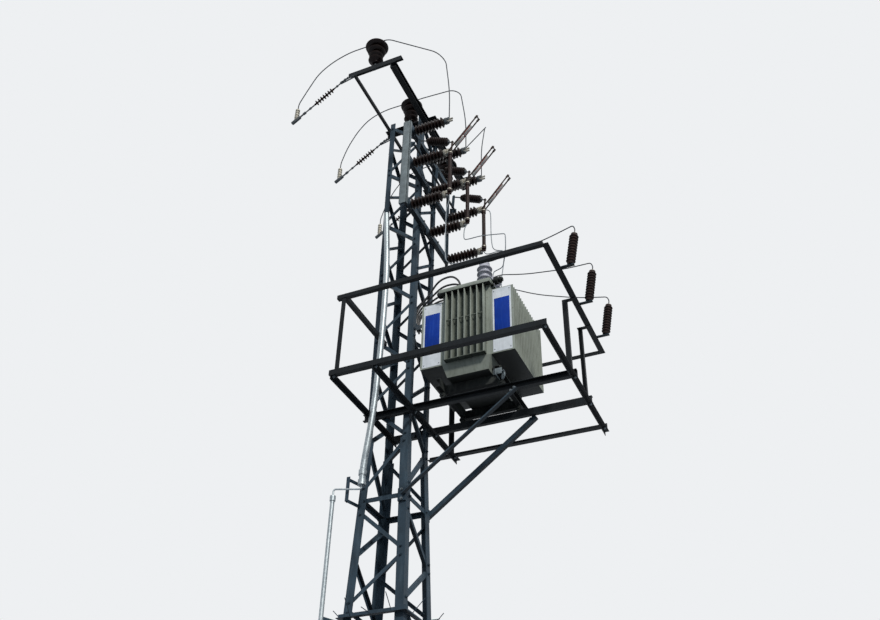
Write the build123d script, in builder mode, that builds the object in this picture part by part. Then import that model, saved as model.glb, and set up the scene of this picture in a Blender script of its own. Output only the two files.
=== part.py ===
from math import atan2, cos, degrees, hypot, radians, sin, sqrt, tan
import os

from build123d import *

os.makedirs("parts", exist_ok=True)

# Axes: X along the platform, away from the mast; Y across it; Z up from the ground.
# The origin is the centre of the footing's underside. All lengths are in millimetres.

# Running, fitting and seating clearances
pin_clearance = 0.3
seat_clearance = 0.3
contact_clearance = 7.0

# Concrete footing
footing_width = 1300.0
footing_height = 250.0
footing_taper = 60.0

# Lattice mast: a tapered shaft below, a straight head above
mast_height = 11260.0
shaft_height = 6140.0
base_width = 940.0
head_width = 500.0
leg_flange_low = 90.0
leg_flange_high = 70.0
leg_thickness = 8.0
brace_flange = 40.0
brace_thickness = 4.0
brace_gap = 34.0
brace_foot = 60.0
shaft_panels = 10
head_panels = 11

# Level ring of angle bars between the legs, where the struts start
ring_drop = 680.0
ring_flange = 50.0
ring_thickness = 5.0
ring_room = 100.0
ring_corner = 60.0

# Angle bars with spikes that keep people off the mast
guard_height = 4240.0
guard_flange = 50.0
guard_thickness = 5.0
spike_length = 190.0
spike_diameter = 8.0
spikes_per_side = 3
spike_pitch = 215.0
spike_root = 12.0

# Platform: four bars along X on three ties along Y
platform_top = 6490.0
beam_height = 80.0
beam_width = 45.0
beam_web = 6.0
beam_length_left = 290.0
platform_end = 2130.0
edge_bar = 60.0
edge_bar_thickness = 6.0
edge_near_y = -1230.0
edge_far_y = 775.0
edge_near_start = -190.0
edge_far_start = 0.0
tie_size = 50.0
tie_thickness = 5.0
tie_left_x = -170.0
tie_overrun = 70.0

# Struts under the platform
strut_size = 50.0
strut_thickness = 5.0
strut_foot_drop = 1040.0
strut_top_x = 1490.0
foot_plate_height = 140.0
foot_plate_width = 90.0
foot_plate_lap = 20.0

# Upper rail round the platform
rail_height = 900.0
rail_size = 50.0
rail_thickness = 5.0
rail_right_size = 65.0
post_size = 50.0
post_thickness = 5.0
post_left_x = -130.0
post_far_x = 262.0
post_right_x = 2085.0
post_cleat = 6.0

# Transformer
tank_centre_x = 985.0
tank_centre_y = 50.0
tank_length = 960.0
tank_width = 560.0
tank_wall_height = 950.0
tank_hopper_height = 150.0
tank_hopper_inset = 45.0
tank_skirt = 10.0
roller_height = 70.0
roller_width = 36.0
roller_axle = 9.0
roller_cheek = 6.0
base_frame_height = 100.0
base_frame_flange = 50.0
base_frame_web = 6.0
base_frame_gauge = 660.0
base_frame_shortfall = 20.0
base_cross_offset = 280.0
lid_thickness = 12.0
lid_overhang = 30.0
lid_rim = 22.0
fin_depth = 265.0
fin_depth_end = 65.0
fin_thickness = 10.0
fin_sheet = 4.0
fin_pitch_side = 54.0
fin_pitch_end = 74.0
fin_count_side = 18
fin_count_end = 7
fin_height = 860.0
fin_band = 14.0
fin_band_level = 530.0
fin_band_inset = 18.0
fin_tray = 3.0
bushing_x = 145.0
bushing_pitch = 280.0
bushing_height = 480.0
bushing_radius = 90.0
bushing_core = 62.0
bushing_sheds = 5
bushing_stud = 24.0
low_bushing_x = -170.0
low_bushing_pitch = 170.0
low_bushing_height = 130.0
low_bushing_radius = 32.0
plate_width = 215.0
plate_height = 840.0
plate_thickness = 3.0
valve_radius = 48.0
valve_neck = 24.0
valve_stand = 75.0
valve_wheel = 40.0
valve_reach = 70.0
drain_radius = 26.0
drain_neck = 15.0
drain_reach = 120.0
drain_y = -300.0
drain_height = 45.0

# Switch frame on the mast's +X face, its levels set down from the mast's top
frame_near_y = -800.0
frame_far_y = 640.0
frame_head_drop = 760.0
frame_foot_drop = 2220.0
frame_channel = 100.0
frame_flange = 50.0
frame_web = 6.0
frame_rail_depth = 60.0
frame_rail_height = 80.0
frame_rail_thickness = 6.0
upper_drop = 805.0
hinge_drop = 1400.0
lower_drop = 2130.0
pole_centre_y = -80.0
pole_pitch = 560.0

# Horizontal post insulators of the switch
post_reach = 490.0
post_core = 38.0
post_radius = 70.0
post_sheds = 9
post_cap = 40.0
terminal_reach = 50.0

# Switch blades, turned open at rest
blade_open = 38.7
blade_bar_width = 24.0
blade_bar_thickness = 6.0
blade_gap = 30.0
hinge_pin_radius = 8.0
contact_lip = 30.0
contact_mouth = 13.0
contact_depth = 26.0
lever_radius = 200.0
lever_ahead = 35.0
lever_width = 24.0
lever_thickness = 10.0
rod_eye_radius = 16.0
rod_eye_thickness = 14.0
rod_pin_radius = 6.0
rod_core = 10.0
rod_body_radius = 36.0
rod_body_start = 0.2
rod_body_end = 0.72
rod_sheds = 5
shaft_offset_x = -463.0
shaft_offset_z = 230.0
shaft_radius = 15.0
shaft_overrun = 18.0
bearing_thickness = 8.0
bearing_margin = 20.0

# Fuse tubes
fuse_radius = 24.0
fuse_cap_radius = 30.0
fuse_cap_height = 60.0

# Crossarm at the mast's head
arm_drop = 90.0
arm_left_size = 50.0
arm_left_thickness = 5.0
arm_right_height = 100.0
arm_right_width = 78.0
arm_right_web = 7.0
arm_near_y = -1270.0
arm_far_y = 1170.0
crossbar_size = 80.0
crossbar_thickness = 8.0
crossbar_left = -375.0
crossbar_right = 400.0
crossbar_middle_y = -170.0
pin_insulator_height = 460.0
pin_insulator_core = 50.0
pin_insulator_rims = (100.0, 97.0, 122.0, 155.0)
pin_insulator_crown = 62.0
pin_groove = 14.0
pin_stem_radius = 14.0
pin_stem_height = 70.0

# Tension strings that would hold the line
string_run = 670.0
string_fall = 490.0
string_core = 12.0
string_radius = 38.0
string_sheds = 7
string_fitting = 260.0
clamp_length = 150.0
clamp_radius = 24.0
clamp_barrel_radius = 30.0
clamp_barrel_height = 215.0

# Surge arresters outside the right-hand rail
arrester_first_y = -750.0
arrester_pitch = 660.0
arrester_reach = 85.0
arrester_lean = 10.0
arrester_radius = 50.0
arrester_core = 32.0
arrester_height = 420.0
arrester_sheds = 7
arrester_bracket = 40.0
arrester_bracket_thickness = 8.0
arrester_bracket_end = 40.0

# Cable pipes beside the near left leg
pipe_radius = 34.0
pipe_top_drop = 1960.0
pipe_stations = ((-150.0, 5545.0), (-150.0, 5745.0), (-76.0, 6400.0), (-36.0, 7400.0), (-36.0, 8400.0))
pipe_head_x = -100.0
pipe_y = -450.0
pipe_clip_low = 230.0
pipe_clip_high = 200.0
pipe_fitting = 8.0
pipe_fitting_height = 55.0
outer_pipe_radius = 22.0
outer_pipe_x = -415.0
outer_pipe_y = -550.0
outer_pipe_top = 5425.0
link_tube_radius = 9.0
link_tube_rise = 75.0
link_tube_bend = 26.0
pipe_arm = 36.0
pipe_arm_thickness = 6.0
pipe_arm_levels = (1300.0, 2800.0, 4190.0)
stay_bar_x = -318.0
stay_bar_y = -475.0
stay_bar_low = 5385.0
stay_bar_length = 270.0
stay_bar_size = 40.0
stay_bar_thickness = 4.0
stay_arm_inset = 20.0

# Bare conductors and low-voltage cables, with the places where each line conductor turns down to its pole
line_corners = ((680.0, -775.0), (620.0, -95.0), (810.0, 730.0))
line_knees = ((775.0, -680.0), (745.0, -85.0), (822.0, 640.0))
bushing_lead_x = 1275.0
lead_radius = 5.0
lead_bend = 0.45
cable_radius = 12.0
cable_spacing = 40.0
cable_count = 4
cleat_level = 7750.0
cleat_height = 40.0
cleat_thickness = 8.0
cable_tail = 50.0


def half_width(z):
    """Half of the mast's outer width at height z."""
    if z >= shaft_height:
        return head_width / 2
    share = z / shaft_height
    return (base_width + (head_width - base_width) * share) / 2


def angle_section(width, thickness, height=None):
    """L section with its heel at the origin and its flanges along +X and +Y."""
    height = height or width
    with BuildSketch() as section:
        with BuildLine():
            Polyline(
                (0, 0), (width, 0), (width, thickness), (thickness, thickness),
                (thickness, height), (0, height), close=True,
            )
        make_face()
    return section.sketch


def channel_section(height, width, web):
    """C section: web on the Y axis, centred, with its flanges towards +X."""
    with BuildSketch() as section:
        with Locations((width / 2, 0)):
            Rectangle(width, height)
        with Locations(((width + web) / 2, 0)):
            Rectangle(width - web, height - 2 * web, mode=Mode.SUBTRACT)
    return section.sketch


def along(start, end, x_dir):
    """Plane at start that faces end."""
    return Plane(origin=start, x_dir=x_dir, z_dir=Vector(*end) - Vector(*start))


def bar(section, start, end, x_dir):
    """Rolled bar of one section from start to end."""
    with BuildPart() as piece:
        with BuildSketch(along(start, end, x_dir)):
            add(section)
        extrude(amount=(Vector(*end) - Vector(*start)).length)
    return piece.part


def shedded(length, core, radius, sheds, foot, head):
    """Insulator body on +Z with cone-shaped sheds between two plain ends."""
    pitch = (length - foot - head) / sheds
    points = [(0, 0), (core, 0), (core, foot)]
    for index in range(sheds):
        low = foot + index * pitch
        points.append((radius, low + 0.3 * pitch))
        points.append((radius, low + 0.45 * pitch))
        points.append((core, low + pitch))
    points.append((core, length))
    points.append((0, length))
    with BuildPart() as piece:
        with BuildSketch(Plane.XZ):
            with BuildLine():
                Polyline(*points, close=True)
            make_face()
        revolve(axis=Axis.Z)
    return piece.part


def lead(points, radius):
    """Round conductor through points, with arcs as large as the straight runs allow."""
    corners = [Vector(*point) for point in points]
    bends = []
    for before, corner, after in zip(corners, corners[1:], corners[2:]):
        run_in = corner - before
        run_out = after - corner
        half_turn = radians(run_in.get_angle(run_out)) / 2
        bends.append(lead_bend * min(run_in.length, run_out.length) / tan(half_turn))
    with BuildPart() as piece:
        with BuildLine():
            FilletPolyline(*corners, radius=bends)
        with BuildSketch(Plane(origin=corners[0], z_dir=corners[1] - corners[0])):
            Circle(radius)
        sweep()
    return piece.part


def save(piece, name):
    piece.label = name
    export_step(piece, f"parts/{name}.step")


# footing and mast

with BuildPart() as concrete_footing:
    with BuildSketch(Plane.XY):
        Rectangle(footing_width, footing_width)
    with BuildSketch(Plane.XY.offset(footing_height)):
        Rectangle(footing_width - 2 * footing_taper, footing_width - 2 * footing_taper)
    loft()
save(concrete_footing.part, "concrete_footing")

mast_face = head_width / 2
cleat_x = mast_face - leg_thickness - brace_flange - 2 * cleat_thickness

with BuildPart() as mast_envelope:
    with BuildSketch(Plane.XY):
        Rectangle(base_width, base_width)
    with BuildSketch(Plane.XY.offset(shaft_height)):
        Rectangle(head_width, head_width)
    loft()
    with BuildSketch(Plane.XY.offset(shaft_height)):
        Rectangle(head_width, head_width)
    extrude(amount=mast_height - shaft_height)


def leg_outline(z, size, side_x, side_y):
    """Section of one leg at height z, its heel on the mast's corner."""
    half = half_width(z)
    with BuildSketch(Plane.XY.offset(z)) as section:
        with BuildLine():
            Polyline(
                *[
                    (side_x * (half - x), side_y * (half - y))
                    for x, y in (
                        (0, 0), (size, 0), (size, leg_thickness),
                        (leg_thickness, leg_thickness), (leg_thickness, size), (0, size),
                    )
                ],
                close=True,
            )
        make_face()
    return section.sketch


def leg(side_x, side_y):
    with BuildPart() as piece:
        loft(sections=[
            leg_outline(footing_height, leg_flange_low, side_x, side_y),
            leg_outline(shaft_height, leg_flange_low, side_x, side_y),
        ])
        extrude(
            to_extrude=leg_outline(shaft_height, leg_flange_high, side_x, side_y),
            amount=mast_height - shaft_height, dir=(0, 0, 1),
        )
    return piece.part


save(leg(-1, -1), "leg_near_left")
save(leg(1, -1), "leg_near_right")
save(leg(-1, 1), "leg_far_left")
save(leg(1, 1), "leg_far_right")


ring_level = shaft_height - ring_drop


def lattice_side(turn):
    """Zigzag of angle bars on the inside of one face, laid out on the near face."""
    flat = angle_section(brace_flange, brace_thickness)
    slope = (base_width - head_width) / 2 / shaft_height
    shaft_start = footing_height + brace_foot
    shaft_pitch = (ring_level - ring_room - shaft_start) / shaft_panels
    head_pitch = (mast_height - brace_foot - shaft_height) / head_panels
    panels = [
        (shaft_start + k * shaft_pitch, shaft_start + (k + 1) * shaft_pitch, leg_flange_low, slope)
        for k in range(shaft_panels)
    ]
    panels.append((ring_level + ring_room, shaft_height, leg_flange_low, slope))
    panels += [
        (shaft_height + k * head_pitch, shaft_height + (k + 1) * head_pitch, leg_flange_high, 0.0)
        for k in range(head_panels)
    ]
    with BuildPart() as piece:
        for index, (panel_low, panel_high, flange, tilt) in enumerate(panels):
            low = panel_low + brace_gap
            high = panel_high - brace_gap
            side = 1 if index % 2 else -1
            inward = leg_thickness * sqrt(1 + tilt * tilt)
            start = Vector(side * (half_width(low) - flange / 2), inward - half_width(low), low)
            end = Vector(-side * (half_width(high) - flange / 2), inward - half_width(high), high)
            run = end - start
            inside = Vector(0, 1, -tilt).normalized()
            across = inside.cross(run).normalized()
            with BuildSketch(Plane(origin=start - across * brace_flange / 2, x_dir=across, z_dir=run)):
                add(flat)
            extrude(amount=run.length)
    return piece.part.rotate(Axis.Z, turn)


save(lattice_side(0), "bracing_near")
save(lattice_side(90), "bracing_right")
save(lattice_side(180), "bracing_far")
save(lattice_side(270), "bracing_left")

ring_half = half_width(ring_level + ring_flange / 2) - seat_clearance
cleat_end = mast_face - leg_thickness - seat_clearance

# Ring bars inside the four faces, and the cleat bar that the low-voltage cables come down to
with BuildPart() as mast_ring:
    ring = angle_section(ring_flange, ring_thickness)
    for turn in range(4):
        start = Vector(ring_corner - ring_half, leg_thickness - ring_half, ring_level + ring_flange / 2)
        start = start.rotate(Axis.Z, 90 * turn)
        run = Vector(1, 0, 0).rotate(Axis.Z, 90 * turn)
        with BuildSketch(Plane(origin=start, x_dir=(0, 0, -1), z_dir=run)):
            add(ring)
        extrude(amount=2 * (ring_half - ring_corner))
    with BuildSketch(Plane.XY.offset(cleat_level - cleat_height / 2)):
        with Locations((cleat_x + cleat_thickness / 2, 0)):
            Rectangle(cleat_thickness, 2 * cleat_end)
    extrude(amount=cleat_height)
save(mast_ring.part, "mast_ring")

guard_half = half_width(guard_height)


def guard_bar(turn, half_length):
    """Spiked angle bar against one face, laid out on the near face."""
    with BuildPart() as piece:
        with BuildSketch(Plane(origin=(half_length, -guard_half, guard_height), x_dir=(0, -1, 0), z_dir=(-1, 0, 0))):
            add(angle_section(guard_flange, guard_thickness))
        extrude(amount=2 * half_length)
        for index in range(spikes_per_side):
            offset = (index - (spikes_per_side - 1) / 2) * spike_pitch
            level = index % 2
            foot = Vector(
                offset, spike_root - guard_half - guard_flange, guard_height + guard_thickness / 2)
            with BuildSketch(Plane(origin=foot, z_dir=(0, -1, 1 - level))):
                Circle(spike_diameter / 2)
            extrude(amount=spike_length)
    return piece.part.rotate(Axis.Z, turn)


with BuildPart() as anti_climb_frame:
    add(guard_bar(0, guard_half + guard_flange))
    add(guard_bar(90, guard_half - seat_clearance))
    add(guard_bar(180, guard_half + guard_flange))
    add(guard_bar(270, guard_half - seat_clearance))
save(anti_climb_frame.part, "anti_climb_frame")

# platform

beam_bottom = platform_top - beam_height
beam_level = platform_top - beam_height / 2
beam = channel_section(beam_height, beam_width, beam_web)
edge = angle_section(edge_bar, edge_bar_thickness)
tie = angle_section(tie_size, tie_thickness)
near = (0, -1, 0)
far = (0, 1, 0)

save(bar(beam, (-beam_length_left, -mast_face, beam_level), (platform_end, -mast_face, beam_level), near),
     "platform_beam_near")
save(bar(beam, (-beam_length_left, mast_face, beam_level), (platform_end, mast_face, beam_level), far),
     "platform_beam_far")
save(bar(edge, (edge_near_start, edge_near_y, beam_bottom), (platform_end, edge_near_y, beam_bottom), far),
     "platform_edge_near")
save(bar(edge, (platform_end, edge_far_y + edge_bar, beam_bottom),
         (edge_far_start, edge_far_y + edge_bar, beam_bottom), near),
     "platform_edge_far")


def platform_tie(x, y_low, y_high):
    """Angle bar along Y under the platform's bars, with one flange against them."""
    return bar(tie, (x, y_high, beam_bottom), (x, y_low, beam_bottom), (0, 0, -1))


tie_middle_x = mast_face + edge_bar
tie_right_x = platform_end - tie_size
tie_far_end = edge_far_y + edge_bar + tie_overrun
with BuildPart() as platform_ties:
    add(platform_tie(tie_left_x, edge_near_y, mast_face + beam_width))
    add(platform_tie(tie_middle_x, edge_near_y, tie_far_end))
    add(platform_tie(tie_right_x, edge_near_y, tie_far_end))
save(platform_ties.part, "platform_ties")

strut_foot_z = platform_top - strut_foot_drop
strut_plane = mast_face + beam_width
strut = angle_section(strut_size, strut_thickness)

with BuildPart() as platform_struts:
    for side in (-1, 1):
        start = Vector(half_width(strut_foot_z) - leg_flange_low / 2, side * strut_plane, strut_foot_z)
        end = Vector(strut_top_x, side * strut_plane, beam_bottom)
        run = end - start
        outward = Vector(0, side, 0)
        across = run.cross(outward).normalized() * side
        with BuildSketch(Plane(origin=start - across * strut_size / 2, x_dir=across, z_dir=run)):
            add(strut if side < 0 else mirror(strut, about=Plane.XZ, mode=Mode.PRIVATE))
        extrude(amount=run.length)
        with BuildSketch(Plane.XZ.offset(-side * strut_plane)):
            with Locations((half_width(strut_foot_z) - leg_flange_low / 2, strut_foot_z)):
                Rectangle(foot_plate_width, foot_plate_height)
        extrude(amount=side * (strut_plane - half_width(strut_foot_z) + foot_plate_lap))
    add(mast_envelope.part, mode=Mode.SUBTRACT)
save(platform_struts.part, "platform_struts")

# upper rail

rail_base = platform_top + rail_height
rail = angle_section(rail_size, rail_thickness)
rail_right_x = platform_end
post = angle_section(post_size, post_thickness)

save(bar(rail, (edge_near_start, edge_near_y, rail_base), (rail_right_x, edge_near_y, rail_base), far),
     "rail_near")
save(bar(angle_section(rail_right_size, rail_thickness, rail_size),
         (rail_right_x, edge_far_y + edge_bar, rail_base), (rail_right_x, edge_near_y, rail_base), (1, 0, 0)),
     "rail_right")
save(bar(rail, (rail_right_x, edge_far_y + edge_bar, rail_base), (post_far_x, edge_far_y + edge_bar, rail_base),
         near),
     "rail_far")
save(bar(rail, (post_left_x + rail_size, edge_near_y + rail_size, rail_base),
         (post_left_x + rail_size, -mast_face, rail_base), (-1, 0, 0)),
     "rail_left")

cleat_end_x = rail_right_x + rail_right_size - rail_thickness
with BuildPart() as rail_posts:
    for x, y, low, high, turn in (
        (post_left_x, edge_near_y + edge_bar_thickness, beam_bottom + edge_bar_thickness, rail_base, 0),
        (post_far_x, edge_far_y + edge_bar - edge_bar_thickness, beam_bottom + edge_bar_thickness, rail_base, -90),
        (post_right_x, -mast_face - beam_width, platform_top, rail_base - post_cleat, 90),
        (post_right_x, mast_face + beam_width, platform_top, rail_base - post_cleat, 180),
    ):
        with BuildSketch(Plane(origin=(x, y, low), x_dir=Vector(1, 0, 0).rotate(Axis.Z, turn))):
            add(post)
        extrude(amount=high - low)
    for side in (-1, 1):
        with BuildSketch(Plane.XY.offset(rail_base - post_cleat)):
            with Locations(((post_right_x - post_size + cleat_end_x) / 2, side * (strut_plane - post_size / 2))):
                Rectangle(cleat_end_x - post_right_x + post_size, post_size)
        extrude(amount=post_cleat)
save(rail_posts.part, "rail_posts")

# transformer

frame_bottom = platform_top + roller_height
frame_top = frame_bottom + base_frame_height
frame_half_y = tank_length / 2 - base_frame_shortfall
roller_radius = roller_height / 2
roller_y = mast_face + beam_width / 2

# Two channels along Y joined by two along X, each long one on two rollers that stand on the beams
with BuildPart() as base_frame:
    long_bar = channel_section(base_frame_height, base_frame_flange, base_frame_web)
    for side in (-1, 1):
        foot = (tank_centre_x + side * (base_frame_gauge - base_frame_flange) / 2,
                tank_centre_y - frame_half_y, frame_bottom + base_frame_height / 2)
        with BuildSketch(Plane(origin=foot, x_dir=(side, 0, 0), z_dir=(0, 1, 0))):
            add(long_bar)
        extrude(amount=2 * frame_half_y)
        with BuildSketch(Plane.XY.offset(frame_bottom)):
            with Locations((tank_centre_x, tank_centre_y + side * base_cross_offset)):
                Rectangle(base_frame_gauge - base_frame_flange, base_frame_flange)
        extrude(amount=base_frame_height)
        for y in (-roller_y, roller_y):
            x = tank_centre_x + side * base_frame_gauge / 2
            with BuildSketch(Plane.XZ.offset(-y - roller_width / 2)):
                with Locations((x, platform_top + roller_radius)):
                    Circle(roller_radius - seat_clearance)
            extrude(amount=roller_width)
            with BuildSketch(Plane.XZ.offset(-y - roller_width / 2 - 2 * roller_cheek)):
                with Locations((x, platform_top + roller_radius)):
                    Circle(roller_axle)
            extrude(amount=roller_width + 4 * roller_cheek)
            for cheek in (-1, 1):
                with BuildSketch(Plane.XZ.offset(-y - cheek * (roller_width / 2 + roller_cheek) - roller_cheek / 2)):
                    with Locations((x, frame_bottom + (base_frame_web - roller_radius) / 2)):
                        Rectangle(2 * roller_axle + 2 * roller_cheek, base_frame_web + roller_radius + roller_axle)
                extrude(amount=roller_cheek)
save(base_frame.part, "base_frame")

hopper_top = frame_top + tank_hopper_height
tank_top = hopper_top + tank_wall_height

with BuildPart() as tank:
    with BuildSketch(Plane.XY.offset(frame_top)):
        with Locations((tank_centre_x, tank_centre_y)):
            Rectangle(tank_width - 2 * tank_hopper_inset, tank_length - 2 * tank_hopper_inset)
    with BuildSketch(Plane.XY.offset(hopper_top)):
        with Locations((tank_centre_x, tank_centre_y)):
            Rectangle(tank_width, tank_length)
    loft()
    with BuildSketch(Plane.XY.offset(hopper_top)):
        with Locations((tank_centre_x, tank_centre_y)):
            Rectangle(tank_width, tank_length)
    extrude(amount=tank_wall_height)
save(tank.part, "tank")

with BuildPart() as tank_lid:
    with BuildSketch(Plane.XY.offset(tank_top)):
        with Locations((tank_centre_x, tank_centre_y)):
            Rectangle(tank_width + 2 * lid_overhang, tank_length + 2 * lid_overhang)
    extrude(amount=lid_rim + lid_thickness)
    edges_up = tank_lid.faces().sort_by(Axis.Z)[-1].edges()
    chamfer(edges_up, lid_thickness / 2)
save(tank_lid.part, "tank_lid")

lid_top = tank_top + lid_rim + lid_thickness
fin_bottom = hopper_top + tank_skirt


def fin_bank(count, pitch, depth, direction, reach, tray):
    """Folded sheet of flat fins on one wall, with a stiffening band between them and a closed underside."""
    turn = degrees(atan2(direction[1], direction[0]))
    plane = Plane(
        origin=(tank_centre_x + direction[0] * reach, tank_centre_y + direction[1] * reach, fin_bottom),
        x_dir=Vector(1, 0, 0).rotate(Axis.Z, turn),
    )
    with BuildPart() as piece:
        with BuildSketch(plane):
            with Locations((depth / 2, 0)):
                with GridLocations(0, pitch, 1, count):
                    Rectangle(depth, fin_thickness)
            with Locations((fin_sheet / 2, 0)):
                Rectangle(fin_sheet, (count - 1) * pitch)
        extrude(amount=fin_height)
        with BuildSketch(plane.offset(fin_band_level - fin_band / 2)):
            with Locations((depth - fin_band_inset - fin_band / 2, 0)):
                Rectangle(fin_band, (count - 1) * pitch)
        extrude(amount=fin_band)
        if tray:
            with BuildSketch(plane.offset(-tray)):
                with Locations((depth / 2, 0)):
                    Rectangle(depth, (count - 1) * pitch + fin_thickness)
            extrude(amount=tray)
    return piece.part


save(fin_bank(fin_count_side, fin_pitch_side, fin_depth, (-1, 0), tank_width / 2, fin_tray), "fins_left")
save(fin_bank(fin_count_side, fin_pitch_side, fin_depth, (1, 0), tank_width / 2, fin_tray), "fins_right")
with BuildPart() as fins_ends:
    add(fin_bank(fin_count_end, fin_pitch_end, fin_depth_end, (0, -1), tank_length / 2, 0))
    add(fin_bank(fin_count_end, fin_pitch_end, fin_depth_end, (0, 1), tank_length / 2, 0))
save(fins_ends.part, "fins_ends")

bushing_line = tank_centre_x + bushing_x
bushing_y = [tank_centre_y + index * bushing_pitch for index in (-1, 0, 1)]
bushing = shedded(bushing_height - bushing_stud, bushing_core, bushing_radius, bushing_sheds, 30, 40)
with BuildPart() as high_voltage_bushings:
    for y in bushing_y:
        with Locations((bushing_line, y, lid_top)):
            add(bushing)
        with BuildSketch(Plane.XY.offset(lid_top + bushing_height - bushing_stud)):
            with Locations((bushing_line, y)):
                Circle(bushing_stud)
        extrude(amount=bushing_stud)
save(high_voltage_bushings.part, "high_voltage_bushings")

low_line = tank_centre_x + low_bushing_x
low_y = [tank_centre_y + (index - (cable_count - 1) / 2) * low_bushing_pitch for index in range(cable_count)]
low_bushing = shedded(low_bushing_height, low_bushing_radius * 0.6, low_bushing_radius, 2, 20, 40)
with BuildPart() as low_voltage_bushings:
    for y in low_y:
        with Locations((low_line, y, lid_top)):
            add(low_bushing)
save(low_voltage_bushings.part, "low_voltage_bushings")

first_fin_y = tank_centre_y - (fin_count_side - 1) * fin_pitch_side / 2 - fin_thickness / 2
with BuildPart() as sign_plates:
    for side in (-1, 1):
        with BuildSketch(Plane.XZ.offset(-first_fin_y)):
            with Locations((tank_centre_x + side * (tank_width / 2 + fin_depth / 2), fin_bottom + fin_height / 2)):
                Rectangle(plate_width, plate_height)
        extrude(amount=plate_thickness)
save(sign_plates.part, "sign_plates")

# Filling valve on the lid's near right corner and drain valve on the hopper's right side
lid_edge_x = tank_centre_x + tank_width / 2 + lid_overhang
valve_x = lid_edge_x - valve_stand
valve_y = tank_centre_y - tank_length / 2 + valve_radius
valve_z = lid_top + valve_neck + seat_clearance
drain_x = tank_centre_x + tank_width / 2 - tank_hopper_inset
drain_z = frame_top + drain_height
with BuildPart() as tank_fittings:
    with BuildSketch(Plane.XY.offset(lid_top)):
        with Locations((valve_x, valve_y)):
            Circle(valve_neck)
    extrude(amount=2 * valve_neck)
    for start, length, radius in (
        (0, valve_stand + valve_wheel + valve_reach, valve_neck),
        (valve_stand + valve_neck / 2, valve_wheel, valve_radius),
        (valve_stand + valve_reach, valve_wheel / 2, valve_radius * 0.8),
    ):
        with BuildSketch(Plane(origin=(valve_x + start, valve_y, valve_z), z_dir=(1, 0, 0))):
            Circle(radius)
        extrude(amount=length)
    for start, length, radius in ((0, drain_reach, drain_neck), (drain_reach * 0.6, drain_reach * 0.3, drain_radius)):
        with BuildSketch(Plane(origin=(drain_x + start, drain_y, drain_z), z_dir=(1, 0, 0))):
            Circle(radius)
        extrude(amount=length)
    add(tank.part, mode=Mode.SUBTRACT)
save(tank_fittings.part, "tank_fittings")

# switch frame

foot_z = mast_height - frame_foot_drop
head_z = mast_height - frame_head_drop
lower_z = mast_height - lower_drop
hinge_z = mast_height - hinge_drop
upper_z = mast_height - upper_drop
pole_y = [pole_centre_y + index * pole_pitch for index in (-1, 0, 1)]
insulator_root = mast_face + frame_rail_depth

with BuildPart() as switch_uprights:
    for y, side in ((frame_near_y, 1), (frame_far_y, -1)):
        upright = channel_section(frame_channel, frame_flange, frame_web)
        with BuildSketch(Plane(origin=(mast_face + frame_channel / 2, y, foot_z), x_dir=(0, side, 0))):
            add(upright)
        extrude(amount=head_z - foot_z)
save(switch_uprights.part, "switch_uprights")

rail_start = frame_near_y + frame_flange
rail_stop = frame_far_y - frame_flange
switch_bar = angle_section(frame_rail_depth, frame_rail_thickness, frame_rail_height)
with BuildPart() as switch_rails:
    for z in (lower_z, hinge_z, upper_z):
        top = z + frame_rail_height / 2
        with BuildSketch(Plane(origin=(insulator_root, rail_start, top), x_dir=(-1, 0, 0), z_dir=(0, 1, 0))):
            add(switch_bar)
        extrude(amount=rail_stop - rail_start)
save(switch_rails.part, "switch_rails")

post_body = shedded(post_reach, post_core, post_radius, post_sheds, post_cap, post_cap)


def post_row(z):
    """Three horizontal post insulators, one for each pole, on the rail at height z."""
    with BuildPart() as piece:
        for y in pole_y:
            with Locations(Location((insulator_root, y, z), (0, 90, 0))):
                add(post_body)
    return piece.part


save(post_row(upper_z), "upper_insulators")
save(post_row(hinge_z), "middle_insulators")
save(post_row(lower_z), "lower_insulators")

hinge_x = insulator_root + post_reach + terminal_reach
plate_half = blade_gap / 2 - contact_clearance
blade_outer = blade_gap / 2 + blade_bar_thickness

blade_radius = upper_z - hinge_z

# Fixed contacts: an upright plate with a mouth that the pin at the blade's tip enters
contact_tip = hinge_x + contact_depth
with BuildPart() as upper_contacts:
    for y in pole_y:
        with BuildSketch(Plane.XZ.offset(-y - plate_half)):
            with Locations(((insulator_root + post_reach + contact_tip) / 2, upper_z)):
                Rectangle(contact_tip - insulator_root - post_reach, 2 * contact_lip)
            with Locations(((hinge_x + contact_tip) / 2, upper_z)):
                Rectangle(contact_tip - hinge_x, 2 * contact_mouth, mode=Mode.SUBTRACT)
            with Locations((hinge_x, upper_z)):
                Circle(contact_mouth, mode=Mode.SUBTRACT)
        extrude(amount=2 * plate_half)
save(upper_contacts.part, "upper_contacts")

# Hinge brackets: a plate between the bars of each blade, bored for the hinge pin
with BuildPart() as hinge_brackets:
    for y in pole_y:
        with BuildSketch(Plane.XZ.offset(-y - plate_half)):
            with Locations(((insulator_root + post_reach + hinge_x) / 2, hinge_z)):
                Rectangle(terminal_reach, 44)
            with Locations((hinge_x, hinge_z)):
                Circle(22)
                Circle(hinge_pin_radius + pin_clearance, mode=Mode.SUBTRACT)
        extrude(amount=2 * plate_half)
save(hinge_brackets.part, "hinge_brackets")

# switch blades and drive

open_x = sin(radians(blade_open))
open_z = cos(radians(blade_open))
blade_dir = Vector(open_x, 0, open_z)
lever_angle = 90 - blade_open + lever_ahead
lever_dir = Vector(cos(radians(lever_angle)), 0, sin(radians(lever_angle)))
lever_y = blade_outer
rod_y = lever_y + lever_thickness + 1


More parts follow.
